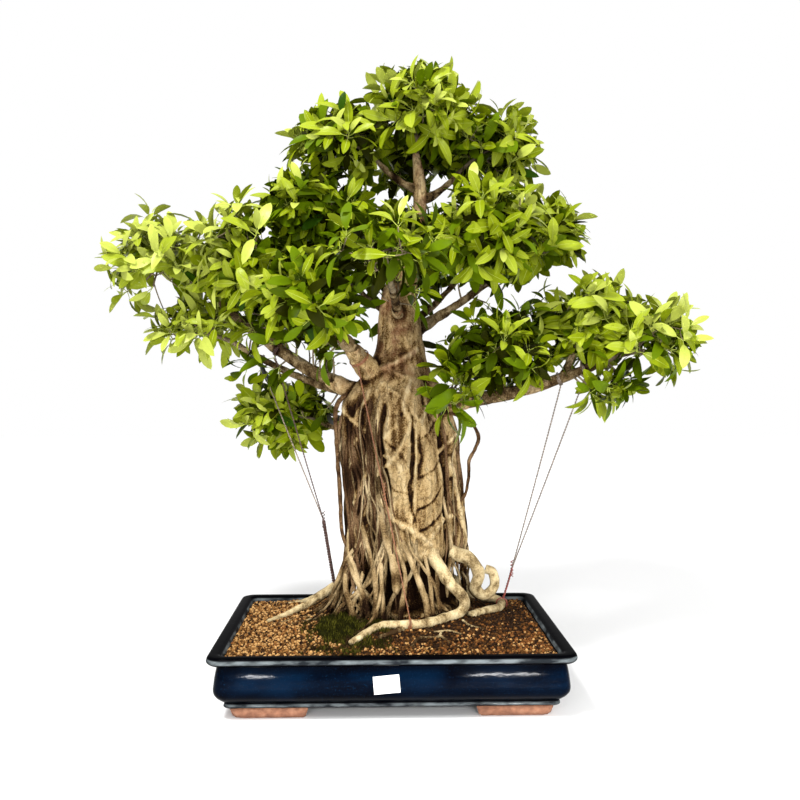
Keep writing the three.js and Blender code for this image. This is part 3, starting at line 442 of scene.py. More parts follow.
# Wires: boughs and a root, with the share along each, and the knot that joins the runs, as in the solids. The
# run from the knot to the root has a thickness of its own.
WIRES = {
    "wire_left": {
        "tops": [("left_main", 0.62, "wire_dark"), ("left_low", 0.86, "wire_grey")],
        "knot": (-0.124, 0.038, 0.288), "root": ("root_left", 0.2), "low": "wire_dark", "thick": 2.6},
    "wire_right": {
        "tops": [("right_low", 0.78, "wire_grey"), ("right_low", 0.9, "wire_grey")],
        "knot": (0.236, 0.092, 0.184), "root": ("root_right", 0.5), "low": "wire_red", "thick": 1.6},
    "wire_front": {
        "tops": [("upright", 0.5, "wire_rust")],
        "knot": (-0.012, -0.042, 0.350), "root": ("root_front", 0.67), "low": "wire_rust", "thick": 0.9},
}
WIRE = {"strand": 0.0007, "twist": 0.0008, "pitch": 0.011, "step": 0.0016, "fewest": 8, "sides": 5,
        "sag": (0, 0, -0.004), "run_points": 60, "near": 1.1}
COIL = {"turns": 2.5, "steps": 28, "near": 1.12, "pitch": 3.2, "thick": 1.3, "aside": (0.2, 0.1, 1)}
KNOT = {"turns": 5, "steps": 110, "radius": 0.0022, "half": 0.016, "thick": 1.2}
SLEEVE = {"bough": "left_low", "share": 0.86, "length": 0.040, "radius": 0.0042, "points": 6, "sides": 10}

# Colours of the wires and of a rubber sleeve, and how metallic they are.
WIRE_COLOURS = {
    "wire_red": ((0.25, 0.045, 0.030), 0.2),
    "wire_rust": ((0.21, 0.080, 0.030), 0.0),
    "wire_dark": ((0.045, 0.016, 0.010), 0.0),
    "wire_grey": ((0.20, 0.155, 0.12), 0.5),
    "sleeve_black": ((0.012, 0.012, 0.013), 0.0),
}

# Grains of soil: ochre and tan on the left, reddish on the right, and dark by the roots as painted shade. The
# distances from the trunk are in its half sizes.
SOIL = {"seed": 17, "pitch": 0.0046, "jitter": 0.5, "size": (0.0015, 0.0032), "inset": 0.0290,
        "vary": (0.75, 1.25), "dent": (0.8, 1.15), "lift": (-0.0008, 0.0016), "bare": 0.6,
        "shade_edge": (2.5, -0.8), "shade_side": (-0.13, 0.06), "shade_share": 0.66, "dark_shares": (0.16, 0.30),
        "darkest": 0.75, "sides": 1.6, "mixing": 0.35, "ray_top": 0.5}
GRAINS = {
    "grain_ochre": (0.195, 0.092, 0.026),
    "grain_tan": (0.40, 0.225, 0.082),
    "grain_red": (0.150, 0.056, 0.015),
    "grain_brown": (0.066, 0.027, 0.007),
    "grain_dark": (0.014, 0.006, 0.002),
}
BROWN_GRAIN, DARK_GRAIN = 3, 4

# Shares of ochre, tan, red and brown among the dry grains, on the left and on the right.
DRY_GRAINS = np.array([(0.42, 0.34, 0.06, 0.18), (0.10, 0.14, 0.42, 0.34)])

MOSS = {"seed": 9, "pitch": 0.0021, "height": (0.004, 0.010), "half": 0.0011, "middle": (-0.072, -0.070),
        "spread": (0.094, 0.132), "cover": 1.7, "patch": 36, "patchy": 0.9, "jitter": 0.6, "clump": 60,
        "clump_height": 0.7, "lean": 0.6, "sunk": 0.003, "tip_sunk": 0.002, "tone": 1.2, "clump_tone": 1.6,
        "vary": 0.9}
MOSS_GREENS = [(0.008, 0.008, 0.0006), (0.022, 0.021, 0.0015), (0.070, 0.066, 0.008)]
NOISE_LAYER = 3

# Turns in radians for grains and blades that lie at random.
ANY_TURN = (0, 6.28)
THIRD_TURN = 2.094


# General helpers

def mix(a, b, t):
    return a + (b - a) * t


def ramp(value, edge, width):
    """From 0 at an edge to 1 a width past it; a negative width goes the other way."""
    return np.clip((value - edge) / width, 0, 1)


def ease(value, edge, width):
    """The same with a soft start and end."""
    t = ramp(value, edge, width)
    return t * t * (3 - 2 * t)


def unit(v):
    v = np.asarray(v, float)
    return v / max(np.linalg.norm(v), 1e-9)


def stream(seed):
    """A repeatable stream of numbers from 0 to 1, the same as the source's."""
    state = int(seed) & 0xFFFFFFFF

    def draw():
        nonlocal state
        state = (state * 1664525 + 1013904223) & 0xFFFFFFFF
        return state / 4294967296

    return draw


def roughness_at(points, scale, stretch=(1, 1, 1)):
    """Smooth noise from -1 to 1 at each point; a larger scale gives finer noise."""
    places = np.asarray(points) * scale * np.asarray(stretch)
    return np.array([noise.noise(Vector(p)) for p in places])


def catmull(rows, count):
    """A count of places along a smooth curve through rows of numbers."""
    rows = np.asarray(rows, float)
    padded = np.vstack([2 * rows[0] - rows[1], rows, 2 * rows[-1] - rows[-2]])
    place = np.linspace(0, 1, count) * (len(rows) - 1)
    low = np.minimum(place.astype(int), len(rows) - 2)
    t = (place - low)[:, None]
    a, b, c, d = (padded[low + k] for k in range(4))
    return 0.5 * (2 * b + (c - a) * t + (2 * a - 5 * b + 4 * c - d) * t**2 + (3 * b - a - 3 * c + d) * t**3)


def bezier(a, b, c, count):
    t = np.linspace(0, 1, count)[:, None]
    return (1 - t) ** 2 * np.asarray(a) + 2 * t * (1 - t) * np.asarray(b) + t**2 * np.asarray(c)


def lengths_along(points):
    return np.concatenate([[0], np.cumsum(np.linalg.norm(np.diff(points, axis=0), axis=1))])


def at_share(points, share):
    """The point at a share of the length of a line of points."""
    run = lengths_along(points)
    return np.array([np.interp(share * run[-1], run, points[:, k]) for k in range(3)])


def heading_at(points, share, step=0.02):
    return unit(at_share(points, min(share + step, 1)) - at_share(points, max(share - step, 0)))


def frames_along(points, aside=(0.31, 0.22, 0.93)):
    """Two directions square to a line of points at each of them, turning as little as they can."""
    ahead = np.gradient(points, axis=0)
    ahead /= np.maximum(np.linalg.norm(ahead, axis=1), 1e-9)[:, None]
    across = [unit(np.cross(ahead[0], aside))]
    for direction in ahead[1:]:
        across.append(unit(across[-1] - direction * np.dot(across[-1], direction)))
    across = np.array(across)
    return across, np.cross(ahead, across)


def square_to(way, ahead):
    """The part of a way that is square to a heading."""
    return way - ahead * np.dot(way, ahead)


def skin_faces(rows, sides):
    """Faces of a closed skin over rings of points, which the two end points follow."""
    ring = np.arange(sides)
    after = (ring + 1) % sides
    faces = []
    for low in range(0, (rows - 1) * sides, sides):
        high = low + sides
        faces.append(np.stack([low + ring, low + after, high + after], 1))
        faces.append(np.stack([low + ring, high + after, high + ring], 1))
    start, last = rows * sides, (rows - 1) * sides
    faces.append(np.stack([np.full(sides, start), after, ring], 1))
    faces.append(np.stack([np.full(sides, start + 1), last + ring, last + after], 1))
    return np.vstack(faces)


class Batch:
    """Triangles of many things of one kind, gathered into one mesh."""

    def __init__(self):
        self.points = []
        self.faces = []
        self.kinds = []
        self.count = 0

    def add(self, points, faces, kind=0):
        self.points.append(np.asarray(points, float))
        self.faces.append(np.asarray(faces, int) + self.count)
        self.kinds.append(np.broadcast_to(kind, len(faces)))
        self.count += len(points)

    def add_copies(self, points, faces, kinds=0):
        """The same faces over each of many sets of points."""
        count, size = points.shape[:2]
        starts = np.arange(count)[:, None, None] * size
        kinds = np.repeat(np.broadcast_to(kinds, count), len(faces))
        self.add(points.reshape(-1, 3), (np.asarray(faces) + starts).reshape(-1, 3), kinds)

    def tube(self, points, radii, sides, kind=0, lumps=0.0, lump_scale=60):
        """A closed tube along points; lumps are a share of the radius."""
        points = np.asarray(points, float)
        radii = np.broadcast_to(np.asarray(radii, float), len(points))[:, None, None]
        across, up = frames_along(points)
        angles = np.linspace(0, 2 * math.pi, sides, endpoint=False)[:, None]
        out = across[:, None] * np.cos(angles) + up[:, None] * np.sin(angles)
        rings = points[:, None] + out * radii
        if lumps:
            swell = roughness_at(rings.reshape(-1, 3), lump_scale).reshape(len(points), sides, 1)
            rings = rings + out * swell * lumps * radii
        verts = np.vstack([rings.reshape(-1, 3), points[0], points[-1]])
        self.add(verts, skin_faces(len(points), sides), kind)

    def piece(self, name, dress, shade_smooth=True):
        mesh = bpy.data.meshes.new(name)
        mesh.from_pydata(np.vstack(self.points), [], np.vstack(self.faces))
        mesh.polygons.foreach_set("material_index", np.concatenate(self.kinds).astype(np.int32))
        return object_of(name, mesh, dress, shade_smooth)


def link(thing):
    bpy.context.scene.collection.objects.link(thing)
    return thing


def object_of(name, mesh, dress, shade_smooth=True):
    """A new object of a mesh, with its materials."""
    for material in dress:
        mesh.materials.append(material)
    mesh.polygons.foreach_set("use_smooth", np.full(len(mesh.polygons), shade_smooth))
    mesh.update()
    return link(bpy.data.objects.new(name, mesh))


def place(piece, slot, *replaced):
    """Every piece rides on the one body and may stand for some of the solids; the slot is not used."""
    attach(piece, "root")
    if replaced:
        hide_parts(*replaced)


def dress_node(name, material):
    """A solid that shows in the scene as it is gets a material."""
    nodes[name].data.materials.clear()
    nodes[name].data.materials.append(material)


# Materials

# The sockets of a mix node for its factor, its two colours and the mixed colour.
MIX_FACTOR, MIX_LOW, MIX_HIGH, MIX_RESULT = 0, 6, 7, 2


class Surface:
    """A material, with short ways to add texture nodes to it."""

    def __init__(self, name, roughness, specular=0.5, metallic=0.0):
        self.material = bpy.data.materials.new(name)
        self.material.use_nodes = True
        self.tree = self.material.node_tree
        self.shader = self.tree.nodes["Principled BSDF"].inputs
        self.shader["Roughness"].default_value = roughness
        self.shader["Specular IOR Level"].default_value = specular
        self.shader["Metallic"].default_value = metallic
        self.place = self.tree.nodes.new("ShaderNodeTexCoord").outputs["Object"]

    def put(self, value, socket):
        """Puts a number, a plain colour or another node's output on a socket."""
        if isinstance(value, bpy.types.NodeSocket):
            self.tree.links.new(value, socket)
        elif socket.type == "RGBA":
            socket.default_value = (*value, 1)
        else:
            socket.default_value = value

    def add(self, kind, **inputs):
        """A node of one kind, with values on its named inputs."""
        node = self.tree.nodes.new("ShaderNode" + kind)
        for name, value in inputs.items():
            self.put(value, node.inputs[name.replace("_", " ").title()])
        return node

    def noise(self, scale, detail=4, stretch=(1, 1, 1), distortion=0.0):
        mapping = self.add("Mapping", vector=self.place, scale=stretch)
        texture = self.add("TexNoise", vector=mapping.outputs["Vector"], scale=scale, detail=detail,
                           distortion=distortion)
        return texture.outputs["Fac"]

    def tone_and_shade(self):
        """How light the mesh is at a place, painted shade included, as kept on its points."""
        node = self.add("Attribute")
        node.attribute_name = "tone_and_shade"
        return node.outputs["Fac"]

    def ramp(self, factor, stops):
        node = self.add("ValToRGB", fac=factor)
        elements = node.color_ramp.elements
        while len(elements) < len(stops):
            elements.new(0.5)
        for element, (position, colour) in zip(elements, stops):
            element.position = position
            element.color = (*colour, 1)
        return node.outputs["Color"]

    def blend(self, factor, low, high):
        """Between two colours, each a plain one or another node's."""
        node = self.add("Mix")
        node.data_type = "RGBA"
        for socket, value in ((MIX_FACTOR, factor), (MIX_LOW, low), (MIX_HIGH, high)):
            self.put(value, node.inputs[socket])
        return node.outputs[MIX_RESULT]

    def total(self, start, *parts):
        """A number plus some values, each times its own weight."""
        for value, weight in parts:
            node = self.add("Math")
            node.operation = "MULTIPLY_ADD"
            for socket, given in zip(node.inputs, (value, weight, start)):
                self.put(given, socket)
            start = node.outputs["Value"]
        return start

    def limits(self, value, low, high):
        """The value as a share from one limit to the other."""
        return self.add("MapRange", value=value, from_min=low, from_max=high).outputs["Result"]

    def nearness(self, far):
        """1 at the middle of the piece, falling to 0 at a distance."""
        mapping = self.add("Mapping", vector=self.place, scale=(1 / far,) * 3)
        gradient = self.add("TexGradient", vector=mapping.outputs["Vector"])
        gradient.gradient_type = "SPHERICAL"
        return gradient.outputs["Fac"]

    def height(self):
        return self.add("SeparateXYZ", vector=self.place).outputs["Z"]

    def colour(self, value):
        self.put(value, self.shader["Base Color"])

    def rough(self, factor, low, high):
        node = self.add("MapRange", value=factor, to_min=low, to_max=high)
        self.put(node.outputs["Result"], self.shader["Roughness"])

    def bump(self, factor, distance, strength):
        node = self.add("Bump", height=factor, distance=distance, strength=strength)
        self.put(node.outputs["Normal"], self.shader["Normal"])


def two_tone(colour, low, high):
    """Stops from a darker to a lighter tone of one colour."""
    return [(0.3, tuple(low * c for c in colour)), (0.7, tuple(min(1, high * c) for c in colour))]


def leaf_material(name, colour):
    made = Surface(name, 0.38, SHEEN.get(name, DULL))
    made.colour(colour)
    veins = made.noise(260, 3)
    made.rough(veins, 0.24, 0.44)
    made.bump(veins, 0.0006, 0.5)
    return made.material


def glaze_material(name, specular):
    """Dark blue with clouds and specks, near black at the foot and the rim, with pale bands of painted
    reflection on their edges.
    """
    made = Surface(name, 0.12, specular)
    body = made.ramp(made.noise(9, 5, (1, 1, 2.2), 0.6), [
        (0.34, (0.0001, 0.0004, 0.002)), (0.52, (0.0002, 0.0021, 0.0072)), (0.74, (0.0004, 0.0058, 0.018))])
    speckle = made.noise(420, 2)
    specked = made.blend(made.limits(speckle, 0.60, 0.76), body, (0.002, 0.011, 0.028))
    height = made.height()
    dark_foot = made.blend(made.limits(height, *GLAZE["dark_foot"]), (0.0003, 0.0004, 0.001), specked)
    dark_rim = made.blend(made.limits(height, *GLAZE["dark_rim"]), dark_foot, (0.0008, 0.0008, 0.0012))
    # Painted reflection: pale grey streaks on the edges of the foot and the rim.
    painted_sheen = made.ramp(made.noise(26, 5, (1, 1, 3)), [
        (0.40, (0.010, 0.012, 0.014)), (0.62, (0.11, 0.125, 0.13))])
    edges = made.ramp(made.limits(height, 0, POT["height"]), [
        (z / POT["height"], (on, on, on)) for z, on in GLAZE_PAINTED_SHEEN])
    made.colour(made.blend(edges, dark_rim, painted_sheen))
    made.rough(speckle, 0.05, 0.12)
    made.bump(made.noise(70, 3), 0.0008, 0.25)
    return made.material


def clay_material():
    made = Surface("terracotta", 0.9)
    made.colour(made.ramp(made.noise(90, 6), [
        (0.3, (0.13, 0.048, 0.024)), (0.55, (0.245, 0.105, 0.056)), (0.75, (0.34, 0.170, 0.100))]))
    made.bump(made.noise(500, 4), 0.0006, 0.6)
    return made.material


def bark_material(name, cracked, stops, red=None):
    """Rough bark: its colour goes by the tone that the mesh keeps, dark in hollows and pale on ridges, which on
    the trunk is painted shade, with fibres and specks. A fine crack keeps a share of the colour. Red patches
    show only above the trunk's fork."""
    made = Surface(name, 0.85, 0.04)
    fibres = made.noise(60, 8, (1, 1, 0.25), 0.5)
    specks = made.noise(380, 5)
    level = made.total(-0.85, (made.tone_and_shade(), 1.0), (fibres, 0.95), (specks, 0.75))
    base = made.ramp(level, stops)
    if red:
        patch = made.limits(made.noise(30, 4), 0.44, 0.60)
        reddish = made.blend(patch, base, made.ramp(level, red))
        base = made.blend(made.limits(made.height(), 0.50, 0.58), base, reddish)
    cracks = made.ramp(made.noise(70, 6, (1, 1, 0.5), 0.6), [
        (0.455, (1, 1, 1)), (0.49, (cracked,) * 3), (0.505, (cracked,) * 3), (0.54, (1, 1, 1))])
    made.colour(made.blend(cracks, (0.020, 0.009, 0.003), base))
    made.bump(made.total(0, (made.noise(230, 7, (1, 1, 0.5)), 1.0), (cracks, 0.8)), 0.0018, 0.9)
    return made.material


def grainy_material(name, stops, scale, roughness, bump=0.0005):
    made = Surface(name, roughness, 0.05)
    grain = made.noise(scale, 5)
    made.colour(made.ramp(grain, stops))
    made.bump(grain, bump, 0.7)
    return made.material


def wire_material(name, colour, metallic):
    made = Surface(name, 0.42, metallic=metallic)
    made.colour(made.ramp(made.noise(160, 3), two_tone(colour, 0.6, 1.25)))
    return made.material


# Bark: the material's name, the share of its colour in a fine crack, and its colours from hollows to ridges; on
# the trunk the dark ones carry painted shade.
BARKS = {
    "bark": ("trunk_bark", 0.55, [
        (0.05, (0.006, 0.002, 0.0006)), (0.28, (0.070, 0.036, 0.011)), (0.46, (0.230, 0.152, 0.065)),
        (0.66, (0.33, 0.235, 0.112)), (0.95, (0.45, 0.35, 0.195))], [
        (0.05, (0.006, 0.002, 0.0006)), (0.35, (0.060, 0.026, 0.010)), (0.60, (0.140, 0.070, 0.032)),
        (0.95, (0.26, 0.16, 0.085))]),
    "bough": ("bough_bark", 0.6, [
        (0.05, (0.007, 0.003, 0.001)), (0.30, (0.070, 0.044, 0.018)), (0.52, (0.185, 0.132, 0.066)),
        (0.9, (0.37, 0.285, 0.16))]),
    "root": ("root_bark", 0.85, [
        (0.05, (0.006, 0.002, 0.0006)), (0.32, (0.080, 0.047, 0.018)), (0.55, (0.21, 0.145, 0.068)),
        (0.9, (0.40, 0.30, 0.165))]),
    "pale_root": ("pale_root_bark", 0.85, [
        (0.05, (0.030, 0.016, 0.006)), (0.30, (0.185, 0.130, 0.060)), (0.52, (0.37, 0.285, 0.150)),
        (0.9, (0.58, 0.48, 0.285))]),
    "curtain": ("hanging_root_bark", 0.85, [
        (0.05, (0.004, 0.0015, 0.0005)), (0.35, (0.026, 0.012, 0.005)), (0.58, (0.078, 0.042, 0.019)),
        (0.9, (0.21, 0.135, 0.07))]),
}

materials = {name: leaf_material(name, colour) for name, colour in GREENS.items()}
materials.update({name: wire_material(name, *look) for name, look in WIRE_COLOURS.items()})
materials.update({name: bark_material(*look) for name, look in BARKS.items()})
materials["rib"] = grainy_material("leaf_rib", [(0.3, (0.24, 0.29, 0.04)), (0.7, (0.36, 0.41, 0.08))], 90, 0.5)
materials["twig"] = grainy_material("twig_bark", [
    (0.3, (0.055, 0.040, 0.022)), (0.55, (0.16, 0.125, 0.075)), (0.75, (0.27, 0.22, 0.14))], 120, 0.85)
materials["glaze"] = glaze_material("glaze_navy", GLAZE["specular"])
materials["glaze_rim"] = glaze_material("glaze_rim", GLAZE["rim_specular"])
materials["clay"] = clay_material()


# Pot, feet and label

def fillet(points, radius):
    """A section with its corners rounded off."""
    points = [np.array(p) for p in points]
    rounded = [points[0]]
    for before, corner, after in zip(points, points[1:], points[2:]):
        ways = [before - corner, after - corner]
        cuts = [corner + w * min(radius / np.linalg.norm(w), POT_FILLET["most"]) for w in ways]
        rounded.extend(bezier(cuts[0], corner, cuts[1], POT_FILLET["steps"]))
    return [*rounded, points[-1]]


def rounded_ring(inset, height):
    radius = max(POT["corner"] - POT["shrink"] * inset, POT["least_corner"])
    x, y = POT["length"] / 2 - inset - radius, POT["width"] / 2 - inset - radius
    ring = []
    for corner, (sx, sy) in enumerate([(1, 1), (-1, 1), (-1, -1), (1, -1)]):
        for angle in np.linspace(corner, corner + 1, POT["corner_steps"]) * math.pi / 2:
            ring.append((sx * x + radius * math.cos(angle), sy * y + radius * math.sin(angle), height))
    return ring


BODY_LINE = catmull(POT_BODY, POT_FILLET["body_steps"])
POT_LINE = [
    *fillet(POT_FOOT, POT_FILLET["foot"])[:-1],
    *BODY_LINE,
    *fillet(POT_RIM + POT_INSIDE, POT_FILLET["rim"])[1:],
]


def make_pot():
    rings = np.array([rounded_ring(inset, height) for inset, height in POT_LINE])
    points = np.vstack([rings.reshape(-1, 3), rings[0].mean(0), rings[-1].mean(0)])
    faces = skin_faces(*rings.shape[:2])
    batch = Batch()
    batch.add(points, faces, points[faces, 2].mean(1) > RIM_EDGE)
    pot = batch.piece("pot_glazed", [materials["glaze"], materials["glaze_rim"]])
    edges = pot.modifiers.new("edges", "EDGE_SPLIT")
    edges.split_angle = math.radians(POT["sharp"])
    place(pot, "glaze", "pot")


def make_feet():
    """The feet keep the solids' shape, with their edges rounded off."""
    for name in sorted(n for n in nodes if n.startswith("foot_")):
        work = bmesh.new()
        work.from_mesh(nodes[name].data)
        flat = math.radians(FEET["flat"])
        bmesh.ops.remove_doubles(work, verts=work.verts, dist=FEET["merge"])
        bmesh.ops.dissolve_limit(work, angle_limit=flat, verts=work.verts, edges=work.edges)
        bmesh.ops.bevel(work, geom=work.edges[:], offset=FEET["edge"], segments=FEET["edge_steps"],
                        affect="EDGES")
        mesh = bpy.data.meshes.new(name + "_clay")
        work.to_mesh(mesh)
        work.free()
        place(object_of(name + "_clay", mesh, [materials["clay"]]), "clay", name)


def make_label():
    """A blank label on the front of the pot, bent to the wall."""
    insets, heights = BODY_LINE.T
    tilt = math.radians(LABEL["tilt"])
    steps = LABEL["steps"]
    points = []
    for j in range(steps + 1):
        for i in range(steps + 1):
            across = (i / steps - 0.5) * LABEL["size"][0]
            up = (j / steps - 0.5) * LABEL["size"][1]
            x = LABEL["centre"][0] + across * math.cos(tilt) - up * math.sin(tilt)
            z = LABEL["centre"][1] + across * math.sin(tilt) + up * math.cos(tilt)
            points.append((x, -POT["width"] / 2 + np.interp(z, heights, insets) - LABEL["lift"], z))
    faces = []
    for j in range(steps):
        for a in range(j * (steps + 1), j * (steps + 1) + steps):
            faces.extend([(a, a + 1, a + steps + 2), (a, a + steps + 2, a + steps + 1)])
    batch = Batch()
    batch.add(points, faces)
    tones = [(0.3, (0.70, 0.70, 0.68)), (0.7, (0.82, 0.82, 0.80))]
    place(batch.piece("label", [grainy_material("label_paper", tones, 140, 0.55, 0.0001)]), "label")


# Soil and moss

def tree_of(node):
    mesh = nodes[node].data
    return BVHTree.FromPolygons([v.co for v in mesh.vertices], [p.vertices for p in mesh.polygons])


def height_on(tree, x, y):
    hit = tree.ray_cast(Vector((x, y, SOIL["ray_top"])), Vector((0, 0, -1)))[0]
    return None if hit is None else hit.z


def icosahedron():
    work = bmesh.new()
    bmesh.ops.create_icosphere(work, subdivisions=1, radius=1)
    work.verts.ensure_lookup_table()
    points = np.array([v.co for v in work.verts])
    faces = np.array([[v.index for v in f.verts] for f in work.faces])
    work.free()
    return points, faces


def scattered(middle, half, rule, rng):
    """Places on a grid, each moved a little at random."""
    for x in np.arange(middle[0] - half[0], middle[0] + half[0], rule["pitch"]):
        for y in np.arange(middle[1] - half[1], middle[1] + half[1], rule["pitch"]):
            yield (x, y) + rng.uniform(-rule["jitter"], rule["jitter"], 2) * rule["pitch"]


def moss_cover(x, y):
    """How thickly moss covers a place on the soil, from 0 or less to 1."""
    away = np.subtract((x, y), MOSS["middle"]) / MOSS["spread"]
    patch = noise.noise(Vector((MOSS["patch"] * x, MOSS["patch"] * y, NOISE_LAYER)))
    return MOSS["cover"] - MOSS["cover"] * math.hypot(*away) + MOSS["patchy"] * patch


def grain_kind(x, far, chance):
    """The colour of a grain, by its side of the pot and its distance from the trunk; near the trunk more grains
    are dark as painted shade.
    """
    side = np.clip(0.5 + SOIL["sides"] * x / POT["length"] + SOIL["mixing"] * (chance[1] - 0.5), 0, 1)
    # Painted shade: more dark grains close to the trunk.
    shade_by_roots = ramp(far, *SOIL["shade_edge"]) * ease(x, *SOIL["shade_side"])
    if chance[2] < mix(*SOIL["dark_shares"], side) + SOIL["shade_share"] * shade_by_roots:
        return DARK_GRAIN if chance[3] < SOIL["darkest"] else BROWN_GRAIN
    return int(np.searchsorted(np.cumsum(mix(*DRY_GRAINS, side)), chance[3]))


def make_soil():
    """Loose grains over the whole surface, on a dark bed."""
    rng = np.random.default_rng(SOIL["seed"])
    soil = tree_of("soil")
    base_points, base_faces = icosahedron()
    _, trunk_x, trunk_y, trunk_across, trunk_depth = TRUNK[0]
    half = (POT["length"] / 2 - SOIL["inset"], POT["width"] / 2 - SOIL["inset"])
    grains = Batch()
    for x, y in scattered((0, 0), half, SOIL, rng):
        x, y = np.clip(x, -half[0], half[0]), np.clip(y, -half[1], half[1])
        z = height_on(soil, x, y)
        far = math.hypot((x - trunk_x) / trunk_across, (y - trunk_y) / trunk_depth)
        chance = rng.random(4)
        if z is None or far < SOIL["bare"] or chance[0] < moss_cover(x, y):
            continue
        size = rng.uniform(*SOIL["size"]) * rng.uniform(*SOIL["vary"], 3)
        turn = np.array(Euler(rng.uniform(*ANY_TURN, 3)).to_matrix())
        shape = (base_points * size * rng.uniform(*SOIL["dent"], (len(base_points), 1))) @ turn.T
        grains.add(shape + (x, y, z + rng.uniform(*SOIL["lift"])), base_faces, grain_kind(x, far, chance))
    dress = []
    for name, colour in GRAINS.items():
        roughness = 0.6 if name == "grain_dark" else 0.9
        dress.append(grainy_material(name, two_tone(colour, 0.7, 1.3), 300, roughness, 0.0006))
    place(grains.piece("soil_grains", dress, shade_smooth=False), "soil")
    bed = [(0.3, (0.008, 0.004, 0.002)), (0.7, (0.05, 0.024, 0.010))]
    dress_node("soil", grainy_material("soil_bed", bed, 150, 0.95, 0.002))


def make_moss():
    rng = np.random.default_rng(MOSS["seed"])
    moss, soil = tree_of("moss"), tree_of("soil")
    blades = Batch()
    for x, y in scattered(MOSS["middle"], MOSS["spread"], MOSS, rng):
        z = height_on(moss, x, y)
        z = height_on(soil, x, y) if z is None else z
        clump = noise.noise(Vector((x * MOSS["clump"], y * MOSS["clump"], NOISE_LAYER)))
        if z is None or rng.random() > moss_cover(x, y):
            continue
        tall = rng.uniform(*MOSS["height"]) * (1 + MOSS["clump_height"] * clump)
        lean = rng.uniform(-MOSS["lean"], MOSS["lean"], 2) * tall
        corners = rng.uniform(*ANY_TURN) + THIRD_TURN * np.arange(3)
        blade = [(x + MOSS["half"] * math.cos(corner), y + MOSS["half"] * math.sin(corner), z - MOSS["sunk"])
                 for corner in corners]
        blade.append((x + lean[0], y + lean[1], z - MOSS["tip_sunk"] + tall))
        tone = MOSS["tone"] + MOSS["clump_tone"] * clump + rng.uniform(-MOSS["vary"], MOSS["vary"])
        blades.add(blade, [(0, 1, 3), (1, 2, 3), (2, 0, 3)], int(np.clip(tone, 0, len(MOSS_GREENS) - 1)))
    dress = [grainy_material(f"moss_{k}", two_tone(green, 0.7, 1.3), 200, 0.95)
             for k, green in enumerate(MOSS_GREENS)]
    place(blades.piece("moss_tufts", dress, shade_smooth=False), "moss")
    dress_node("moss", dress[0])


# Trunk

PROFILE = catmull(TRUNK, TRUNK_MESH["profile"])


def trunk_row(height):
    """The trunk's x, y and half sizes at a height."""
    return [np.interp(height, PROFILE[:, 0], PROFILE[:, k]) for k in range(1, 5)]


def trunk_skin(height, angle, out):
    """Points on the trunk's skin, pushed out by a distance."""
    height, angle = np.broadcast_arrays(np.asarray(height, float), np.asarray(angle, float))
    x, y, across, depth = trunk_row(height)
    lobes = FLUTES["depth"] * np.cos(FLUTES["lobes"] * angle + FLUTES["phase"])
    fine = FINE_FLUTES["depth"] * np.cos(FINE_FLUTES["lobes"] * angle + FINE_FLUTES["twist"] * height)
    scale = 1 + ease(height, FLUTES["end"], -FLUTES["fade"]) * (lobes + fine)
    return np.stack([x + (across * scale + out) * np.cos(angle),
                     y + (depth * scale + out) * np.sin(angle), height], -1)


def front_angle(x, height):
    """The angle at which the front of the trunk has a given x."""
    middle, _, across, _ = trunk_row(height)
    return -np.arccos(np.clip((x - middle) / across, -TRUNK_MESH["widest"], TRUNK_MESH["widest"]))


def distance_to_line(x, height, line):
    """How far places seen from the front lie from a line through a few others."""
    nearest = np.full(np.shape(x), np.inf)
    fine = catmull(line, 4 * len(line))
    for (x0, z0), (x1, z1) in zip(fine, fine[1:]):
        along = ((x - x0) * (x1 - x0) + (height - z0) * (z1 - z0)) / ((x1 - x0) ** 2 + (z1 - z0) ** 2)
        along = np.clip(along, 0, 1)
        nearest = np.minimum(nearest, np.hypot(x - mix(x0, x1, along), height - mix(z0, z1, along)))
    return nearest


def cleft_depth(height, angle):
    """How far the clefts, creases and the undercut foot lie below the skin, and how much painted shade darkens
    them.
    """
    middle_x, _, across, depth = trunk_row(height)
    total = np.zeros_like(height)
    for foot_angle, top_angle, foot, top, deep, half in CLEFTS:
        up = (height - foot) / (top - foot)
        middle = np.radians(mix(foot_angle, top_angle, np.clip(up, 0, 1)))
        middle = middle + CLEFT["wobble"] * np.sin(CLEFT["wobbles"] * height)
        turn = np.angle(np.exp(1j * (angle - middle)))
        window = ease(up, 0, CLEFT["ends"]) * ease(up, 1, -CLEFT["ends"])
        total = np.maximum(total, deep * window * np.exp(-((turn * across / half) ** 2)))
    front = np.sin(angle) < 0
    x = middle_x + across * np.cos(angle)
    seen = np.stack([x, np.zeros_like(x), height], -1).reshape(-1, 3)
    wander = roughness_at(seen, CREASE["scale"]).reshape(x.shape)
    moved = CREASE["wander"] * wander
    for deep, half, line in CREASES:
        away = distance_to_line(x + moved, height + moved, line)
        total = np.maximum(total, front * deep * (1 + CREASE["vary"] * wander) * np.exp(-((away / half) ** 2)))
    eaten = ease(height, UNDERCUT["low"], UNDERCUT["low_fade"])
    eaten = eaten * ease(height, UNDERCUT["high"], -UNDERCUT["high_fade"])
    under = UNDERCUT["share"] * eaten * np.minimum(across, depth)
    # Painted shade in the clefts, creases and undercut foot.
    dark = ramp(total, 0, CLEFT["darkest"]) + UNDERCUT["dark"] * eaten
    return total + under, np.clip(dark, 0, UNDERCUT["dark"])


def skin_line(heights, angles, off, count):
    """A line on the trunk's skin through a few heights and angles."""
    return trunk_skin(*catmull(np.stack([heights, angles, off], 1), count).T)


def front_line(points, radius, count, sink):
    """A line on the front of the trunk through a few places seen from the front."""
    x, height = np.array(points).T
    return skin_line(height, front_angle(x, height), np.full(len(x), -sink * radius), count)


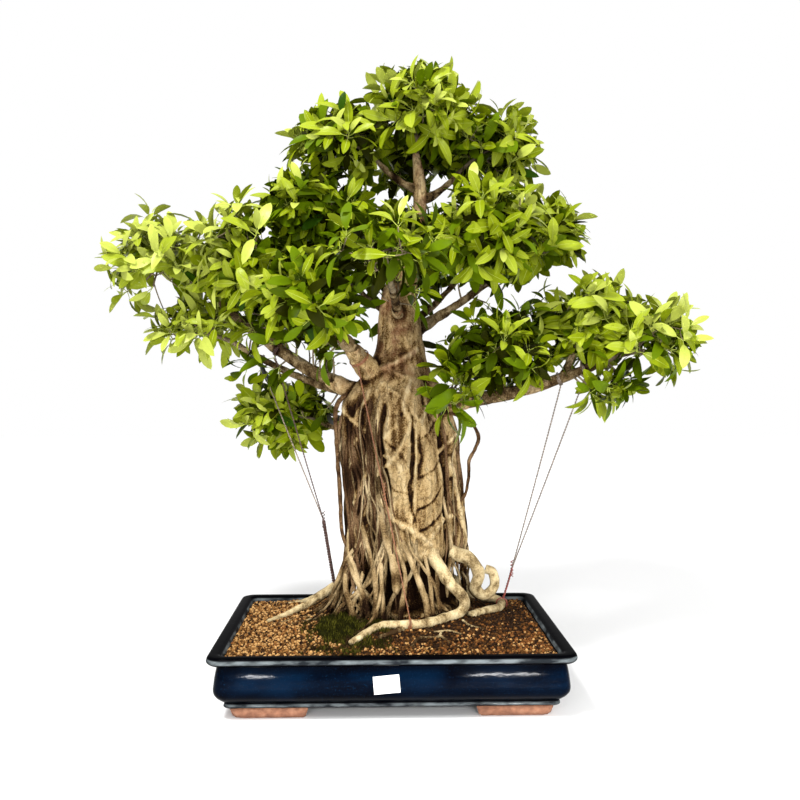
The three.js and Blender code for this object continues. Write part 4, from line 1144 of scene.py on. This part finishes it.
def deal_roots(rule, flare=None):
    """Lines of roots down the trunk by a seeded rule, each with its radius."""
    rng = np.random.default_rng(rule["seed"])
    low, high = np.radians(rule["angles"])
    count = DEALT["steps"]
    steps = np.linspace(0, 1, count)
    for i in range(rule["count"]):
        angle = mix(low, high, (i + rng.random()) / rule["count"])
        top, foot = rng.uniform(*rule["top"]), rng.uniform(*rule["foot"])
        radius = mix(*rule["radius"], rng.random() ** DEALT["thin"])
        drift = rule["lean"] + rule["drift"] * rng.uniform(-1, 1)
        wander = rng.uniform(-1, 1, count) * DEALT["wander"]
        offs = rng.uniform(*rule["off"]) + radius * rng.uniform(*DEALT["vary"], count)
        if flare:
            offs = offs + rng.uniform(*flare) * steps ** DEALT["flare"]
        offs[0] = -DEALT["sunk"] * radius
        angles = angle + drift * steps ** DEALT["turn"] + wander
        yield skin_line(mix(top, foot, steps), angles, offs, DEALT["points"]), radius


def deal_straps():
    """Lines of roots that have grown into the trunk at a slant, by a seeded rule."""
    rng = np.random.default_rng(STRAPS["seed"])
    sunk = np.array(STRAPS["sunk"])
    steps = np.linspace(0, 1, len(sunk))
    for i in range(STRAPS["count"]):
        angle = 2 * math.pi * (i + rng.random()) / STRAPS["count"]
        top, drop = rng.uniform(*STRAPS["top"]), rng.uniform(*STRAPS["drop"])
        turn = rng.choice((-1, 1)) * rng.uniform(*STRAPS["turn"])
        radius = rng.uniform(*STRAPS["radius"])
        degrees = (math.degrees(angle + turn / 2) + 180) % 360 - 180
        if STRAPS["clear"][0] < degrees < STRAPS["clear"][1] and rng.random() > STRAPS["kept"]:
            continue
        heights = np.maximum(top - drop * steps, TRUNK[0][0])
        angles = angle + turn * steps + rng.uniform(-STRAPS["wander"], STRAPS["wander"], len(sunk))
        yield skin_line(heights, angles, -radius * sunk, STRAPS["points"]), radius


def remeshed(name, batch, voxel, passes):
    """The things in a batch fused into one even skin."""
    rough = batch.piece(name + "_rough", [])
    fuse = rough.modifiers.new("fuse", "REMESH")
    fuse.mode = "VOXEL"
    fuse.voxel_size = voxel
    even = rough.modifiers.new("even", "SMOOTH")
    even.factor = 0.5
    even.iterations = passes
    evaluated = rough.evaluated_get(bpy.context.evaluated_depsgraph_get())
    mesh = bpy.data.meshes.new_from_object(evaluated)
    mesh.name = name
    bpy.data.objects.remove(rough)
    return mesh


def vectors_of(rows, name):
    values = np.zeros(3 * len(rows))
    rows.foreach_get(name, values)
    return values.reshape(-1, 3)


def points_of(mesh):
    return vectors_of(mesh.vertices, "co")


def normals_of(mesh):
    return vectors_of(mesh.vertex_normals, "vector")


def displace(mesh, amounts):
    """Moves the points of a mesh along their normals."""
    moved = points_of(mesh) + normals_of(mesh) * amounts[:, None]
    mesh.vertices.foreach_set("co", moved.ravel())
    mesh.update()


def cavity_of(mesh, passes):
    """How far each point of a mesh lies below the even surface round it."""
    points = points_of(mesh)
    edges = np.zeros(2 * len(mesh.edges), np.int32)
    mesh.edges.foreach_get("vertices", edges)
    one, other = edges.reshape(-1, 2).T
    ends, starts = np.concatenate([one, other]), np.concatenate([other, one])
    neighbours = np.bincount(ends, minlength=len(points))[:, None]
    even = points
    for _ in range(passes):
        even = np.stack([np.bincount(ends, even[starts, k], len(points)) for k in range(3)], 1) / neighbours
    return np.sum((even - points) * normals_of(mesh), axis=1)


def set_tone_and_shade(mesh, values):
    """How light each point of a bark mesh is, from 0 in a hollow to 1 on a ridge, painted shade included."""
    attribute = mesh.attributes.new("tone_and_shade", "FLOAT", "POINT")
    attribute.data.foreach_set("value", np.clip(values, 0, 1).astype(np.float32))


def collar_of(name):
    """The thick foot of a bough, from inside the trunk to a little way out along the bough."""
    line = limbs[name]
    run = lengths_along(line)
    x, y, across, depth = trunk_row(line[:, 2])
    out = (line[:, :2] - np.stack([x, y], 1)) / np.stack([across, depth], 1)
    leaves_at = run[np.linalg.norm(out, axis=1) < 1].max()
    kept = run < leaves_at + COLLAR["length"]
    stout = ramp(limb_radii[name][0], COLLAR["thin"], COLLAR["thick"] - COLLAR["thin"])
    swell = mix(1.0, COLLAR["swell"], stout)
    share = mix(swell, COLLAR["end"], ease(run[kept], leaves_at, COLLAR["length"]))
    return line[kept], mix(*limb_radii[name], run[kept] / run[-1]) * share


def trunk_wood():
    """The trunk with its clefts, the roots grown into it and the feet of its boughs, each with its own skin."""
    heights = np.linspace(TRUNK[0][0], TRUNK[-1][0], TRUNK_MESH["rows"])
    angles = np.linspace(0, 2 * math.pi, TRUNK_MESH["sides"], endpoint=False)
    height, angle = np.meshgrid(heights, angles, indexing="ij")
    deep, _ = cleft_depth(height, angle)
    skin = trunk_skin(height, angle, -deep)
    batch = Batch()
    batch.add(np.vstack([skin.reshape(-1, 3), skin[0].mean(0), skin[-1].mean(0)]), skin_faces(*skin.shape[:2]))
    for radius, points in BANDS:
        line = front_line(points, radius, BAND["points"], BAND["sink"])
        batch.tube(line, radius, BAND["sides"], lumps=BAND["lumps"])
    for line, radius in deal_straps():
        batch.tube(line, radius, BAND["sides"], lumps=STRAPS["lumps"])
    for name, parent, *_ in BOUGHS:
        if parent == "trunk":
            line, radii = collar_of(name)
            batch.tube(line, radii, COLLAR["sides"], lumps=COLLAR["lumps"])
    return batch


def bark_tones(points, hollow):
    """How light the bark is at each point, with painted shade in its hollows, clefts and undercut foot, on the
    left and high up.
    """
    x, y, across, depth = trunk_row(points[:, 2])
    out_x, out_y = (points[:, 0] - x) / across, (points[:, 1] - y) / depth
    _, dark = cleft_depth(points[:, 2], np.arctan2(out_y, out_x))
    left = ease(points[:, 0], *TONE_EDGES["left"]) * ease(points[:, 2], *TONE_EDGES["left_top"])
    front = ease(points[:, 1], *TONE_EDGES["front"]) * (1 - left)
    high = ease(points[:, 2], *TONE_EDGES["high"])
    off = ease(np.hypot(out_x, out_y), *TONE_EDGES["off"])
    # Painted shade: clefts, undercut foot, the left and high up under the crown.
    shaded = TONES["cleft_shade"] * dark + TONES["left"] * left + TONES["high"] * high + TONES["off"] * off
    return TONES["plain"] + TONES["front"] * front - hollow / mix(*HOLLOW_SHADE["depths"], front) - shaded


def make_trunk():
    mesh = remeshed("trunk_bark", trunk_wood(), TRUNK_MESH["voxel"], TRUNK_MESH["passes"])
    points = points_of(mesh)
    _, _, across, _ = trunk_row(points[:, 2])
    size = np.clip(across / BARK_FULL["half_size"], BARK_FULL["least"], 1)
    layers = [tall * roughness_at(points, fine, (1, 1, along)) for fine, along, tall in BARK_LAYERS]
    displace(mesh, size * sum(layers))
    # Painted shade in the hollows of the bark.
    hollow = cavity_of(mesh, HOLLOW_SHADE["passes"])
    set_tone_and_shade(mesh, bark_tones(points, hollow - np.median(hollow)))
    place(object_of("trunk_bark", mesh, [materials["bark"]]), "bark", "trunk")


# Thin roots on the trunk and on the soil

def add_root(batch, line, radius, kind, look, blunt=()):
    """A thin root along a line; a blunt one narrows quickly at its end."""
    ends, sides, lumps, lump_scale = ROOT_TUBES[look]
    thick = np.linspace(*ends, len(line))
    if blunt:
        thick[-len(blunt):] *= blunt
    batch.tube(line, thick * radius, sides, kind, lumps, lump_scale)


def front_stilts():
    """Lines of the roots that stand in front of the trunk's foot, each with its radius."""
    for radius, points in FRONT_STILTS:
        line = front_line(points, radius, FRONT_STILT["points"], FRONT_STILT["sink"])
        line[:, 1] -= FRONT_STILT["off"] * ease(line[:, 2], *FRONT_STILT["off_from"])
        line[:3, 1] += np.array(FRONT_STILT["sunk"]) * radius
        yield line, radius


def fan_roots(soil):
    """Lines of roots that run out from the trunk and down to the soil, each with its radius."""
    rng = np.random.default_rng(FAN["seed"])
    for i in range(FAN["count"]):
        angle = math.radians(mix(*FAN["angles"], (i + rng.random()) / FAN["count"]))
        ends = [trunk_skin(rng.uniform(*FAN["top"]), angle, 0.0)]
        reach = rng.uniform(*FAN["length"])
        bent = angle + rng.uniform(-FAN["bend"], FAN["bend"])
        drop = ends[0][2] - FAN["foot"]
        for way, far, down in ((angle, FAN["bend_at"], FAN["bend_drop"]),
                               (bent, 1 - FAN["bend_at"], 1 - FAN["bend_drop"])):
            ends.append(ends[-1] + (far * reach * math.cos(way), far * reach * math.sin(way), -down * drop))
        radius = rng.uniform(*FAN["radius"])
        line = catmull(ends, FAN["points"])
        for p in line:
            ground = height_on(soil, p[0], p[1]) or p[2]
            p[2] = max(p[2], ground + FAN["lift"] * radius)
        line[-1, 2] -= FAN["sunk"] * radius
        yield line, radius


def rootlets(soil):
    """Lines of the small roots on the soil, each with its radius."""
    for radius, places in ROOTLETS:
        line = catmull([(x, y, 0) for x, y in places], ROOTLET["points"])
        for p in line:
            p[2] = (height_on(soil, p[0], p[1]) or TRUNK[0][0]) + ROOTLET["lift"] * radius
        line[[0, -1], 2] -= ROOTLET["sunk"] * radius
        yield line, radius


def make_hanging_roots(tints):
    hanging = Batch()
    for rule in CURTAINS:
        for line, radius in deal_roots(rule):
            add_root(hanging, line, radius, int(tints.random() < HANGING["pale"]), "hanging")
    piece = hanging.piece("hanging_roots", [materials["curtain"], materials["bough"]])
    mottle = roughness_at(points_of(piece.data), HANGING["scale"], HANGING["stretch"])
    set_tone_and_shade(piece.data, HANGING["tone"] + HANGING["mottle"] * mottle)
    place(piece, "root")


def make_standing_roots(tints):
    """Roots that stand round the trunk's foot or lie on the soil, darker towards the soil as painted shade."""
    standing = Batch()
    soil = tree_of("soil")
    for line, radius in front_stilts():
        blunt = FRONT_STILT["blunt"] if line[-1, 2] > FRONT_STILT["free"] else ()
        add_root(standing, line, radius, 0, "front", blunt)
    for line, radius in deal_roots(STILTS, STILT_FLARE):
        add_root(standing, line, radius, 0 if tints.random() < STANDING["plain_stilts"] else 1, "stilt")
    for line, radius in fan_roots(soil):
        add_root(standing, line, radius, int(tints.random() < STANDING["dark_fan"]), "fan")
    for line, radius in rootlets(soil):
        add_root(standing, line, radius, 2, "rootlet")
    piece = standing.piece("standing_roots", [materials["root"], materials["bough"], materials["pale_root"]])
    points = points_of(piece.data)
    mottle = STANDING["mottle"] * roughness_at(points, STANDING["scale"])
    # Painted shade darkens the roots towards the soil.
    low = ease(points[:, 2], *STANDING["foot_from"])
    set_tone_and_shade(piece.data, STANDING["tone"] + mottle - STANDING["foot"] * low)
    place(piece, "root")


# Boughs and separate roots

limbs = {"trunk": PROFILE[:, [1, 2, 0]]}
limb_radii = {}


def trace_limbs():
    for name, parent, at, mass, reach, bow, radii in BOUGHS:
        foot = np.array([*trunk_row(at)[:2], at]) if parent == "trunk" else at_share(limbs[parent], at)
        tip = mix(foot, np.array(MASSES[mass][0]), reach)
        limbs[name] = bezier(foot, (foot + tip) / 2 + 2 * np.array(bow), tip, LIMB["bough_points"])
        limb_radii[name] = radii
    for name, (radii, points) in ROOTS.items():
        limbs[name] = catmull(points, LIMB["root_points"])
        limb_radii[name] = radii


def make_limb(name, node, look):
    """One limb with knobbly bark, thicker at the collar where it leaves its parent."""
    run = lengths_along(limbs[name])
    swell = 1 + look["collar"] * np.exp(-run / LIMB["collar"])
    batch = Batch()
    batch.tube(limbs[name], mix(*limb_radii[name], run / run[-1]) * swell, look["sides"], lumps=look["lumps"],
               lump_scale=LIMB["lump_scale"])
    piece = batch.piece(node + "_bark", [materials[look["material"]]])
    points = points_of(piece.data)
    fibres = roughness_at(points, LIMB["fibre_scale"])
    displace(piece.data, LIMB["fibres"] * fibres)
    mottle = look["mottle"] * roughness_at(points, LIMB["mottle_scale"])
    set_tone_and_shade(piece.data, look["tone"] + LIMB["fibre_tone"] * fibres + mottle)
    place(piece, look["slot"], node)


def make_limbs():
    for name, *_ in BOUGHS:
        make_limb(name, "bough_" + name, LIMB_LOOKS["bough"])
    for name in ROOTS:
        make_limb(name, name, LIMB_LOOKS["aerial" if name.startswith("aerial") else "root"])


# Leaves

Leaf = namedtuple("Leaf", "foot heading upper length step")


def whole_between(limits, rng):
    return rng.integers(limits[0], limits[1] + 1)


def whorl(tip, ahead, size, rng):
    """Leaves round a twig's tip. The step of a leaf is the step to a darker green."""
    across = unit(np.cross((-ahead[1], ahead[0], 0.01), ahead))
    along = np.cross(ahead, across)
    turn = rng.uniform(0, 2 * math.pi)
    counts = [whole_between(limits, rng) for limits, *_ in WHORL]
    leaves = []
    for count, (_, spreads, share, forward, step) in zip(counts, WHORL):
        for _ in range(count):
            turn += GOLDEN_ANGLE if share < 1 else 2 * math.pi / count * rng.uniform(*WHORL_TURN)
            spread = math.radians(rng.uniform(*spreads))
            out = across * math.cos(turn) + along * math.sin(turn)
            heading = ahead * math.cos(spread) + out * math.sin(spread)
            upper = unit(ahead * math.sin(spread) - out * math.cos(spread))
            length = rng.uniform(*LEAF["length"]) * share * size
            leaves.append(Leaf(tip + ahead * forward, unit(heading), upper, length, step))
    return leaves


def spray_of(line, ahead, rng, size=1.0):
    """The whorl at a twig's tip and a few older leaves on its sides."""
    along = unit(line[-1] - line[0])
    spray = whorl(line[-1], ahead, size, rng)
    for _ in range(whole_between(SIDE_LEAF["count"], rng)):
        foot = at_share(line, rng.uniform(*SIDE_LEAF["place"]))
        side = unit(square_to(unit(rng.normal(size=3)), along))
        heading = unit(side + SIDE_LEAF["ahead"] * along + SIDE_LEAF["up"])
        upper = unit(square_to(np.array((0, 0, 1)), heading))
        length = size * rng.uniform(*LEAF["length"]) * SIDE_LEAF["size"]
        spray.append(Leaf(foot, heading, upper, length, SIDE_LEAF["step"]))
    return spray


def blade_faces():
    """Faces of a blade over the points of its spine, its left edge and its right edge."""
    rows = len(LEAF_ROWS)
    left, right = rows + 2, 2 * rows + 2
    faces = [(0, 1, left), (0, right, 1)]
    for k in range(rows - 1):
        a, l, r = k + 1, left + k, right + k
        faces.extend([(a, a + 1, l + 1), (a, l + 1, l), (a, r, r + 1), (a, r + 1, a + 1)])
    return [*faces, (rows, rows + 1, left + rows - 1), (rows, right + rows - 1, rows + 1)]


def rib_faces():
    """Faces of a strip over pairs of points."""
    faces = []
    for a in range(0, 2 * len(RIB["stations"]) - 2, 2):
        faces.extend([(a, a + 1, a + 3), (a, a + 3, a + 2)])
    return faces


def stalk_faces():
    """Faces of an open tube over two rings of points."""
    faces = []
    for k in range(STALK_SIDES):
        after = (k + 1) % STALK_SIDES
        faces.extend([(k, after, STALK_SIDES + after), (k, STALK_SIDES + after, STALK_SIDES + k)])
    return faces


def leaf_blades(blades, ribs, leaves, kinds, rng):
    """Blades with a folded midrib and an arch along their length, their pale ribs and their stalks."""
    count = len(leaves)
    foot, heading, upper, length, _ = (np.array(column) for column in zip(*leaves))
    side = np.cross(upper, heading)
    half = LEAF["width"] / 2 * length * rng.uniform(*LEAF["vary"], count)
    arch = rng.uniform(*LEAF["arch"], count) * length
    fold = rng.uniform(*LEAF["fold"], count)
    twist = rng.uniform(-LEAF["twist"], LEAF["twist"], count)
    start = foot + heading * LEAF["stalk"]

    def at(t, across, lift=0.0):
        bend = -arch * t**2 + LEAF["rise"] * length * t * (1 - t)
        rise = bend + (np.abs(across) * fold + across * twist * t) * LEAF["tilt"] + lift
        return start + heading * (t * length)[:, None] + side * across[:, None] + upper * rise[:, None]

    spine = [at(t, np.zeros(count)) for t in (0.0, *[t for t, _ in LEAF_ROWS], 1.0)]
    edges = [at(t, sign * w * half) for sign in (1, -1) for t, w in LEAF_ROWS]
    blades.add_copies(np.stack(spine + edges, 1), blade_faces(), kinds)

    strip = []
    for t in RIB["stations"]:
        wide = np.full(count, RIB["half"] * (1 - RIB["taper"] * t))
        strip.extend(at(t, sign * wide, RIB["lift"]) for sign in (1, -1))
    ribs.add_copies(np.stack(strip, 1)[kinds < RIBBED], rib_faces())

    corners = []
    for middle, thick in zip((foot, start), LEAF["stalk_radii"]):
        for turn in np.arange(STALK_SIDES) * 2 * math.pi / STALK_SIDES:
            corners.append(middle + thick * (side * math.cos(turn) + upper * math.sin(turn)))
    ribs.add_copies(np.stack(corners, 1), stalk_faces())


def camera_axes():
    """The camera's heading and its right."""
    yaw, pitch = math.radians(CAMERA["yaw"]), math.radians(CAMERA["pitch"])
    ahead = np.array((math.sin(yaw) * math.cos(pitch), math.cos(yaw) * math.cos(pitch), -math.sin(pitch)))
    return ahead, np.array((math.cos(yaw), -math.sin(yaw), 0))


BOX_LOW, BOX_HIGH = np.array(cad_box[0]), np.array(cad_box[1])
CAMERA_AHEAD, CAMERA_RIGHT = camera_axes()


def in_box(point):
    return np.all(point > BOX_LOW - LEAF["box_room"]) and np.all(point < BOX_HIGH + LEAF["box_room"])


def in_gap(point):
    """Whether a point lies where the photo shows sky through the crown."""
    away = point - np.array(CAMERA["place"])
    scale = CAMERA["focal_px"] / np.dot(away, CAMERA_AHEAD)
    across = CAMERA["frame_px"] / 2 + scale * np.dot(away, CAMERA_RIGHT)
    down = CAMERA["frame_px"] / 2 - scale * np.dot(away, np.cross(CAMERA_RIGHT, CAMERA_AHEAD))
    return any(math.hypot(across - u, down - v) < radius for u, v, radius in SKY_GAPS)


def leaf_end(leaf):
    return leaf.foot + leaf.heading * (LEAF["stalk"] + leaf.length)


def has_room(leaf):
    """Whether a leaf lies within the solids' box and clear of the sky."""
    end = leaf_end(leaf)
    return in_box(end) and not in_gap(end) and not in_gap((leaf.foot + end) / 2)


# Masses of leaves

CENTRES = np.array([centre for centre, _ in MASSES.values()])
RADII = np.array([radii for _, radii in MASSES.values()])


def depths_at(point):
    """How far out in each mass's space a point lies: 0 in its middle and 1 on its edge."""
    return np.linalg.norm((point - CENTRES) / RADII, axis=1)


def in_space(index, point, margin):
    """A point belongs to the mass in whose space it lies deepest."""
    depths = depths_at(point)
    own = depths[index]
    depths[index] = np.inf
    return own < 1 and depths.min() > own + margin


def green_of(point, ahead, inner, rng):
    """The colour of a spray, as painted light and shade: the brightest greens outside and above, the deepest
    inside and below.
    """
    shelter = np.sum(ramp(depths_at(point + SHELTER["ahead"] * ahead), *SHELTER["ahead_edge"]))
    above = depths_at(point + np.array((0, 0, SHELTER["above"])))
    shelter += SHELTER["above_share"] * np.sum(ramp(above, *SHELTER["above_edge"]))
    left = ramp(point[0], *LIGHT["left_edge"])
    outer = ramp(abs(point[0]), *LIGHT["outer_edge"])
    middle = (1 - outer) * ramp(point[2], *LIGHT["middle_edge"])
    high = max(point[2] - LIGHT["high_from"], 0)
    score = SHELTER["share"] * shelter + inner - LIGHT["left"] * left - LIGHT["outer"] * outer
    score += LIGHT["middle"] * middle - LIGHT["high"] * high + rng.normal(0, LIGHT["vary"])
    return int(np.digitize(score, GREEN_STEPS))


def shade_of(colour, step, rng):
    """The colour of one leaf of a spray: now and then a step darker, and rarely an old dark leaf."""
    shade = int(np.clip(colour + step + (rng.random() < DARKER_CHANCE), 0, OLD_GREEN - 1))
    return OLD_GREEN if rng.random() < OLD_CHANCE else shade


class Foliage:
    """The twigs and the leaves of one part of the crown."""

    def __init__(self):
        self.wood = Batch()
        self.leaves = []
        self.kinds = []

    def add_spray(self, spray, colour, rng, mass=None):
        """Keeps the leaves that have room, and within the edge of a mass's space if one is given."""
        for leaf in spray:
            within = mass is None or depths_at(leaf_end(leaf))[mass] < LEAF["edge"]
            if within and has_room(leaf):
                self.leaves.append(leaf)
                self.kinds.append(shade_of(colour, leaf.step, rng))

    def make(self, name, rng, *replaced):
        """The twigs, the blades and the ribs, each kind apart."""
        blades, ribs = Batch(), Batch()
        leaf_blades(blades, ribs, self.leaves, np.array(self.kinds), rng)
        place(self.wood.piece("twigs_" + name, [materials["twig"]]), "twig")
        place(blades.piece("leaves_" + name, [materials[n] for n in GREENS]), "leaf", *replaced)
        place(ribs.piece("ribs_" + name, [materials["rib"]]), "leaf")


def tip_places(name, centre, radii, rule, draw):
    """Places for the tips of a mass's twigs, spread evenly round its middle."""
    turn = 2 * math.pi * draw()
    count = round(np.linalg.norm(radii) / rule["spacing"]) + 1
    places = []
    for i in range(count):
        height = 1 - 2 * (i + 0.5) / count
        ring = math.sqrt(1 - height * height)
        angle = turn + i * GOLDEN_ANGLE
        way = np.array((ring * math.cos(angle), ring * math.sin(angle), height))
        out = mix(*rule["reach"], draw())
        if rule["fine"] and height < LOWEST.get(name, -1):
            continue
        if rule["fine"]:
            lump = noise.noise(Vector(LUMPS["scale"] * (centre + radii * way)))
            outward = 0.5 + 0.5 * np.dot(way, unit(centre - CROWN_MIDDLE))
            out *= mix(1, REACH.get(name, 1), ease(outward, 0, 1)) * (1 + LUMPS["size"] * lump)
        reach = np.maximum(radii - TIPS["leaf_room"] * rule["leaf"], TIPS["least_reach"] * radii) * out
        places.append(centre + reach * way)
    return places


def may_grow(name, foot, tip, rule, rng):
    """Whether a twig may grow: in its own mass's space, not in a hole or a thin part, and clear of the sky."""
    index = list(MASSES).index(name)
    margin = 0 if rule["fine"] else TWIG["margin"]
    if not all(in_space(index, mix(foot, tip, t), margin) for t in TWIG["tested"]):
        return False
    if noise.noise(Vector(HOLE_SCALE * tip)) < rule["holes"] or rng.random() > FULLNESS.get(name, 1):
        return False
    if rule["fine"] and in_gap(tip):
        return False
    return np.linalg.norm(tip - foot) >= TWIG["least"]


def grow_mass(name):
    """The stem goes on from its limb to the mass's middle, and each twig grows from the nearest bud on the
    wood that is there already. Later rounds add finer twigs in the same space."""
    index = list(MASSES).index(name)
    centre, radii = CENTRES[index], RADII[index]
    bough = next((row[0] for row in BOUGHS if row[3] == name), "trunk")
    start = limbs[bough][-1]
    heading = np.array(STEM["up"]) if bough == "trunk" else heading_at(limbs[bough], 1)
    across_seed, up_seed, first_seed = SEEDS["source"]
    draw = stream(across_seed * round(1000 * centre[0]) + up_seed * round(1000 * centre[2]) + first_seed)
    rng = np.random.default_rng(SEEDS["looks"] + index)
    bend = start + heading * STEM["bend"] * np.linalg.norm(centre - start)
    foliage = Foliage()
    thick = limb_radii[bough][1] if bough in limb_radii else TRUNK[-1][3]
    foliage.wood.tube(bezier(start, bend, centre, STEM["points"]),
                      np.linspace(thick, STEM["radii"][1], STEM["points"]), STEM["sides"], lumps=STEM["lumps"])
    stem = bezier(start, bend, centre, STEM["bud_steps"] + 1)
    buds = [(stem[round(STEM["bud_steps"] * t)], mix(*STEM["radii"], t)) for t in STEM["buds"]]
    for rule in ROUNDS:
        tips = sorted(tip_places(name, centre, radii, rule, draw), key=lambda p: np.linalg.norm(p - start))
        for tip in tips:
            foot, radius = min(buds, key=lambda bud: np.linalg.norm(bud[0] - tip))
            if not may_grow(name, foot, tip, rule, rng):
                continue
            bow = rng.uniform(-1, 1, 3) * TWIG["bow"] * np.linalg.norm(tip - foot)
            line = bezier(foot, (foot + tip) / 2 + bow, tip, TWIG["points"])
            base = max(TWIG["share"] * radius, rule["tip"])
            foliage.wood.tube(line, np.linspace(base, rule["tip"], TWIG["points"]), TWIG["sides"])
            outward = unit((tip - centre) / radii)
            ahead = unit(TWIG["along"] * unit(tip - foot) + TWIG["outward"] * outward + TWIG["up"])
            colour = green_of(tip, ahead, rule["inner"] + TINT.get(name, 0), rng)
            foliage.add_spray(spray_of(line, ahead, rng, LARGE_LEAVES.get(name, 1)), colour, rng, index)
            buds.extend((at_share(line, t), mix(base, rule["tip"], t)) for t in TWIG["buds"])
    foliage.make(name, rng, "foliage_" + name)


def grow_bough_sprays():
    """Short twigs with leaves that stand on the boughs themselves."""
    rng = np.random.default_rng(BOUGH_SPRAY["seed"])
    foliage = Foliage()
    for bough, (shares, count, up) in BOUGH_SPRAYS.items():
        for share in np.linspace(*shares, count):
            foot, along = at_share(limbs[bough], share), heading_at(limbs[bough], share)
            away = rng.normal(size=3) + (0, 0, BOUGH_SPRAY["turn"] * up)
            way = unit(unit(square_to(away, along)) + BOUGH_SPRAY["ahead"] * along)
            tip = foot + way * (mix(*limb_radii[bough], share) + rng.uniform(*BOUGH_SPRAY["length"]))
            bow = rng.uniform(-BOUGH_SPRAY["bow"], BOUGH_SPRAY["bow"], 3)
            line = bezier(foot, (foot + tip) / 2 + bow, tip, TWIG["points"])
            foliage.wood.tube(line, np.linspace(*BOUGH_SPRAY["radii"], TWIG["points"]), TWIG["sides"])
            colour = green_of(tip, way, BOUGH_SPRAY["inner"], rng)
            foliage.add_spray(spray_of(line, way, rng), colour, rng)
    foliage.make("boughs", rng)


# Wires

def twisted(batch, line, kind, size):
    """Two strands twisted round each other along a line."""
    run = lengths_along(line)[-1]
    count = max(int(run / WIRE["step"]), WIRE["fewest"])
    middle = np.array([at_share(line, s) for s in np.linspace(0, 1, count)])
    across, up = frames_along(middle)
    phase = (np.linspace(0, run, count) / WIRE["pitch"] * 2 * math.pi)[:, None]
    for turn in (0, math.pi):
        out = across * np.cos(phase + turn) + up * np.sin(phase + turn)
        batch.tube(middle + size * WIRE["twist"] * out, size * WIRE["strand"], WIRE["sides"], kind)


def coil(limb, share):
    """A few turns of wire round a limb."""
    middle, ahead = at_share(limbs[limb], share), heading_at(limbs[limb], share)
    radius = mix(*limb_radii[limb], share) * COIL["near"] + 2 * WIRE["strand"]
    across = unit(np.cross(ahead, COIL["aside"]))
    up = np.cross(ahead, across)
    turns = COIL["turns"]
    angles = np.linspace(0, 2 * math.pi * turns, int(COIL["steps"] * turns))[:, None]
    slide = (angles / (2 * math.pi) - turns / 2) * COIL["pitch"] * WIRE["strand"]
    return middle + radius * (across * np.cos(angles) + up * np.sin(angles)) + ahead * slide


def knot_round(knot):
    """A bundle of turns that stands upright at the knot."""
    angles = np.linspace(0, 2 * math.pi * KNOT["turns"], KNOT["steps"])
    up = np.linspace(-KNOT["half"], KNOT["half"], KNOT["steps"])
    return knot + np.stack([KNOT["radius"] * np.cos(angles), KNOT["radius"] * np.sin(angles), up], 1)


def near_end(limb, share, target):
    """The place on a limb's side that faces a point."""
    middle, ahead = at_share(limbs[limb], share), heading_at(limbs[limb], share)
    radius = mix(*limb_radii[limb], share) * WIRE["near"] + WIRE["strand"]
    return middle + unit(square_to(target - middle, ahead)) * radius


def make_wires():
    names = list(WIRE_COLOURS)
    for node, wire in WIRES.items():
        batch = Batch()
        knot = np.array(wire["knot"])
        for limb, share, colour in [*wire["tops"], (*wire["root"], wire["low"])]:
            kind = names.index(colour)
            batch.tube(coil(limb, share), COIL["thick"] * WIRE["strand"], WIRE["sides"], kind)
            end = near_end(limb, share, knot)
            run = bezier(end, (end + knot) / 2 + WIRE["sag"], knot, WIRE["run_points"])
            twisted(batch, run, kind, wire["thick"] if limb == wire["root"][0] else 1.0)
            if (limb, share) == (SLEEVE["bough"], SLEEVE["share"]):
                inner = end + unit(knot - end) * SLEEVE["length"]
                batch.tube(np.linspace(end, inner, SLEEVE["points"]), SLEEVE["radius"], SLEEVE["sides"],
                           names.index("sleeve_black"))
        batch.tube(knot_round(knot), KNOT["thick"] * WIRE["strand"], WIRE["sides"], names.index(wire["low"]))
        place(batch.piece(node + "_twisted", [materials[n] for n in names]), "wire", node)


# Stage: floor, light and camera

def make_floor():
    bpy.ops.mesh.primitive_plane_add(size=FLOOR["size"])
    floor = bpy.context.object
    floor.name = "floor"
    made = Surface("floor_pale", 0.9, 0.1)
    stops = [(0.0, FLOOR["rim"]), (FLOOR["greyest"], FLOOR["middle"])]
    made.colour(made.ramp(made.nearness(FLOOR["far"]), stops))
    floor.data.materials.append(made.material)


def make_light():
    world = bpy.data.worlds.new("studio")
    bpy.context.scene.world = world
    world.use_nodes = True
    background = world.node_tree.nodes["Background"]
    background.inputs["Color"].default_value = (1, 1, 1, 1)
    background.inputs["Strength"].default_value = 1.0
    bpy.context.scene.view_settings.view_transform = "Standard"
    for name, spot, target, size, power in LAMPS:
        light = bpy.data.lights.new(name, "AREA")
        light.shape = "RECTANGLE"
        light.size, light.size_y = size
        light.energy = power
        lamp = link(bpy.data.objects.new(name, light))
        lamp.location = spot
        lamp.visible_camera = False
        lamp.rotation_euler = (Vector(target) - Vector(spot)).to_track_quat("-Z", "Y").to_euler()


def make_camera():
    camera = bpy.data.cameras.new("camera")
    camera.sensor_width = CAMERA["sensor"]
    camera.lens = CAMERA["focal_px"] / CAMERA["frame_px"] * CAMERA["sensor"]
    camera.clip_start = CAMERA["nearest"]
    stand = link(bpy.data.objects.new("camera", camera))
    stand.location = CAMERA["place"]
    stand.rotation_euler = (math.radians(90 - CAMERA["pitch"]), 0, math.radians(-CAMERA["yaw"]))
    bpy.context.scene.camera = stand


make_floor()
make_light()
make_camera()
make_pot()
make_feet()
make_label()
make_soil()
make_moss()
trace_limbs()
make_trunk()
root_tints = np.random.default_rng(CURTAINS[0]["seed"])
make_hanging_roots(root_tints)
make_standing_roots(root_tints)
make_limbs()
make_wires()
for name in MASSES:
    grow_mass(name)
grow_bough_sprays()
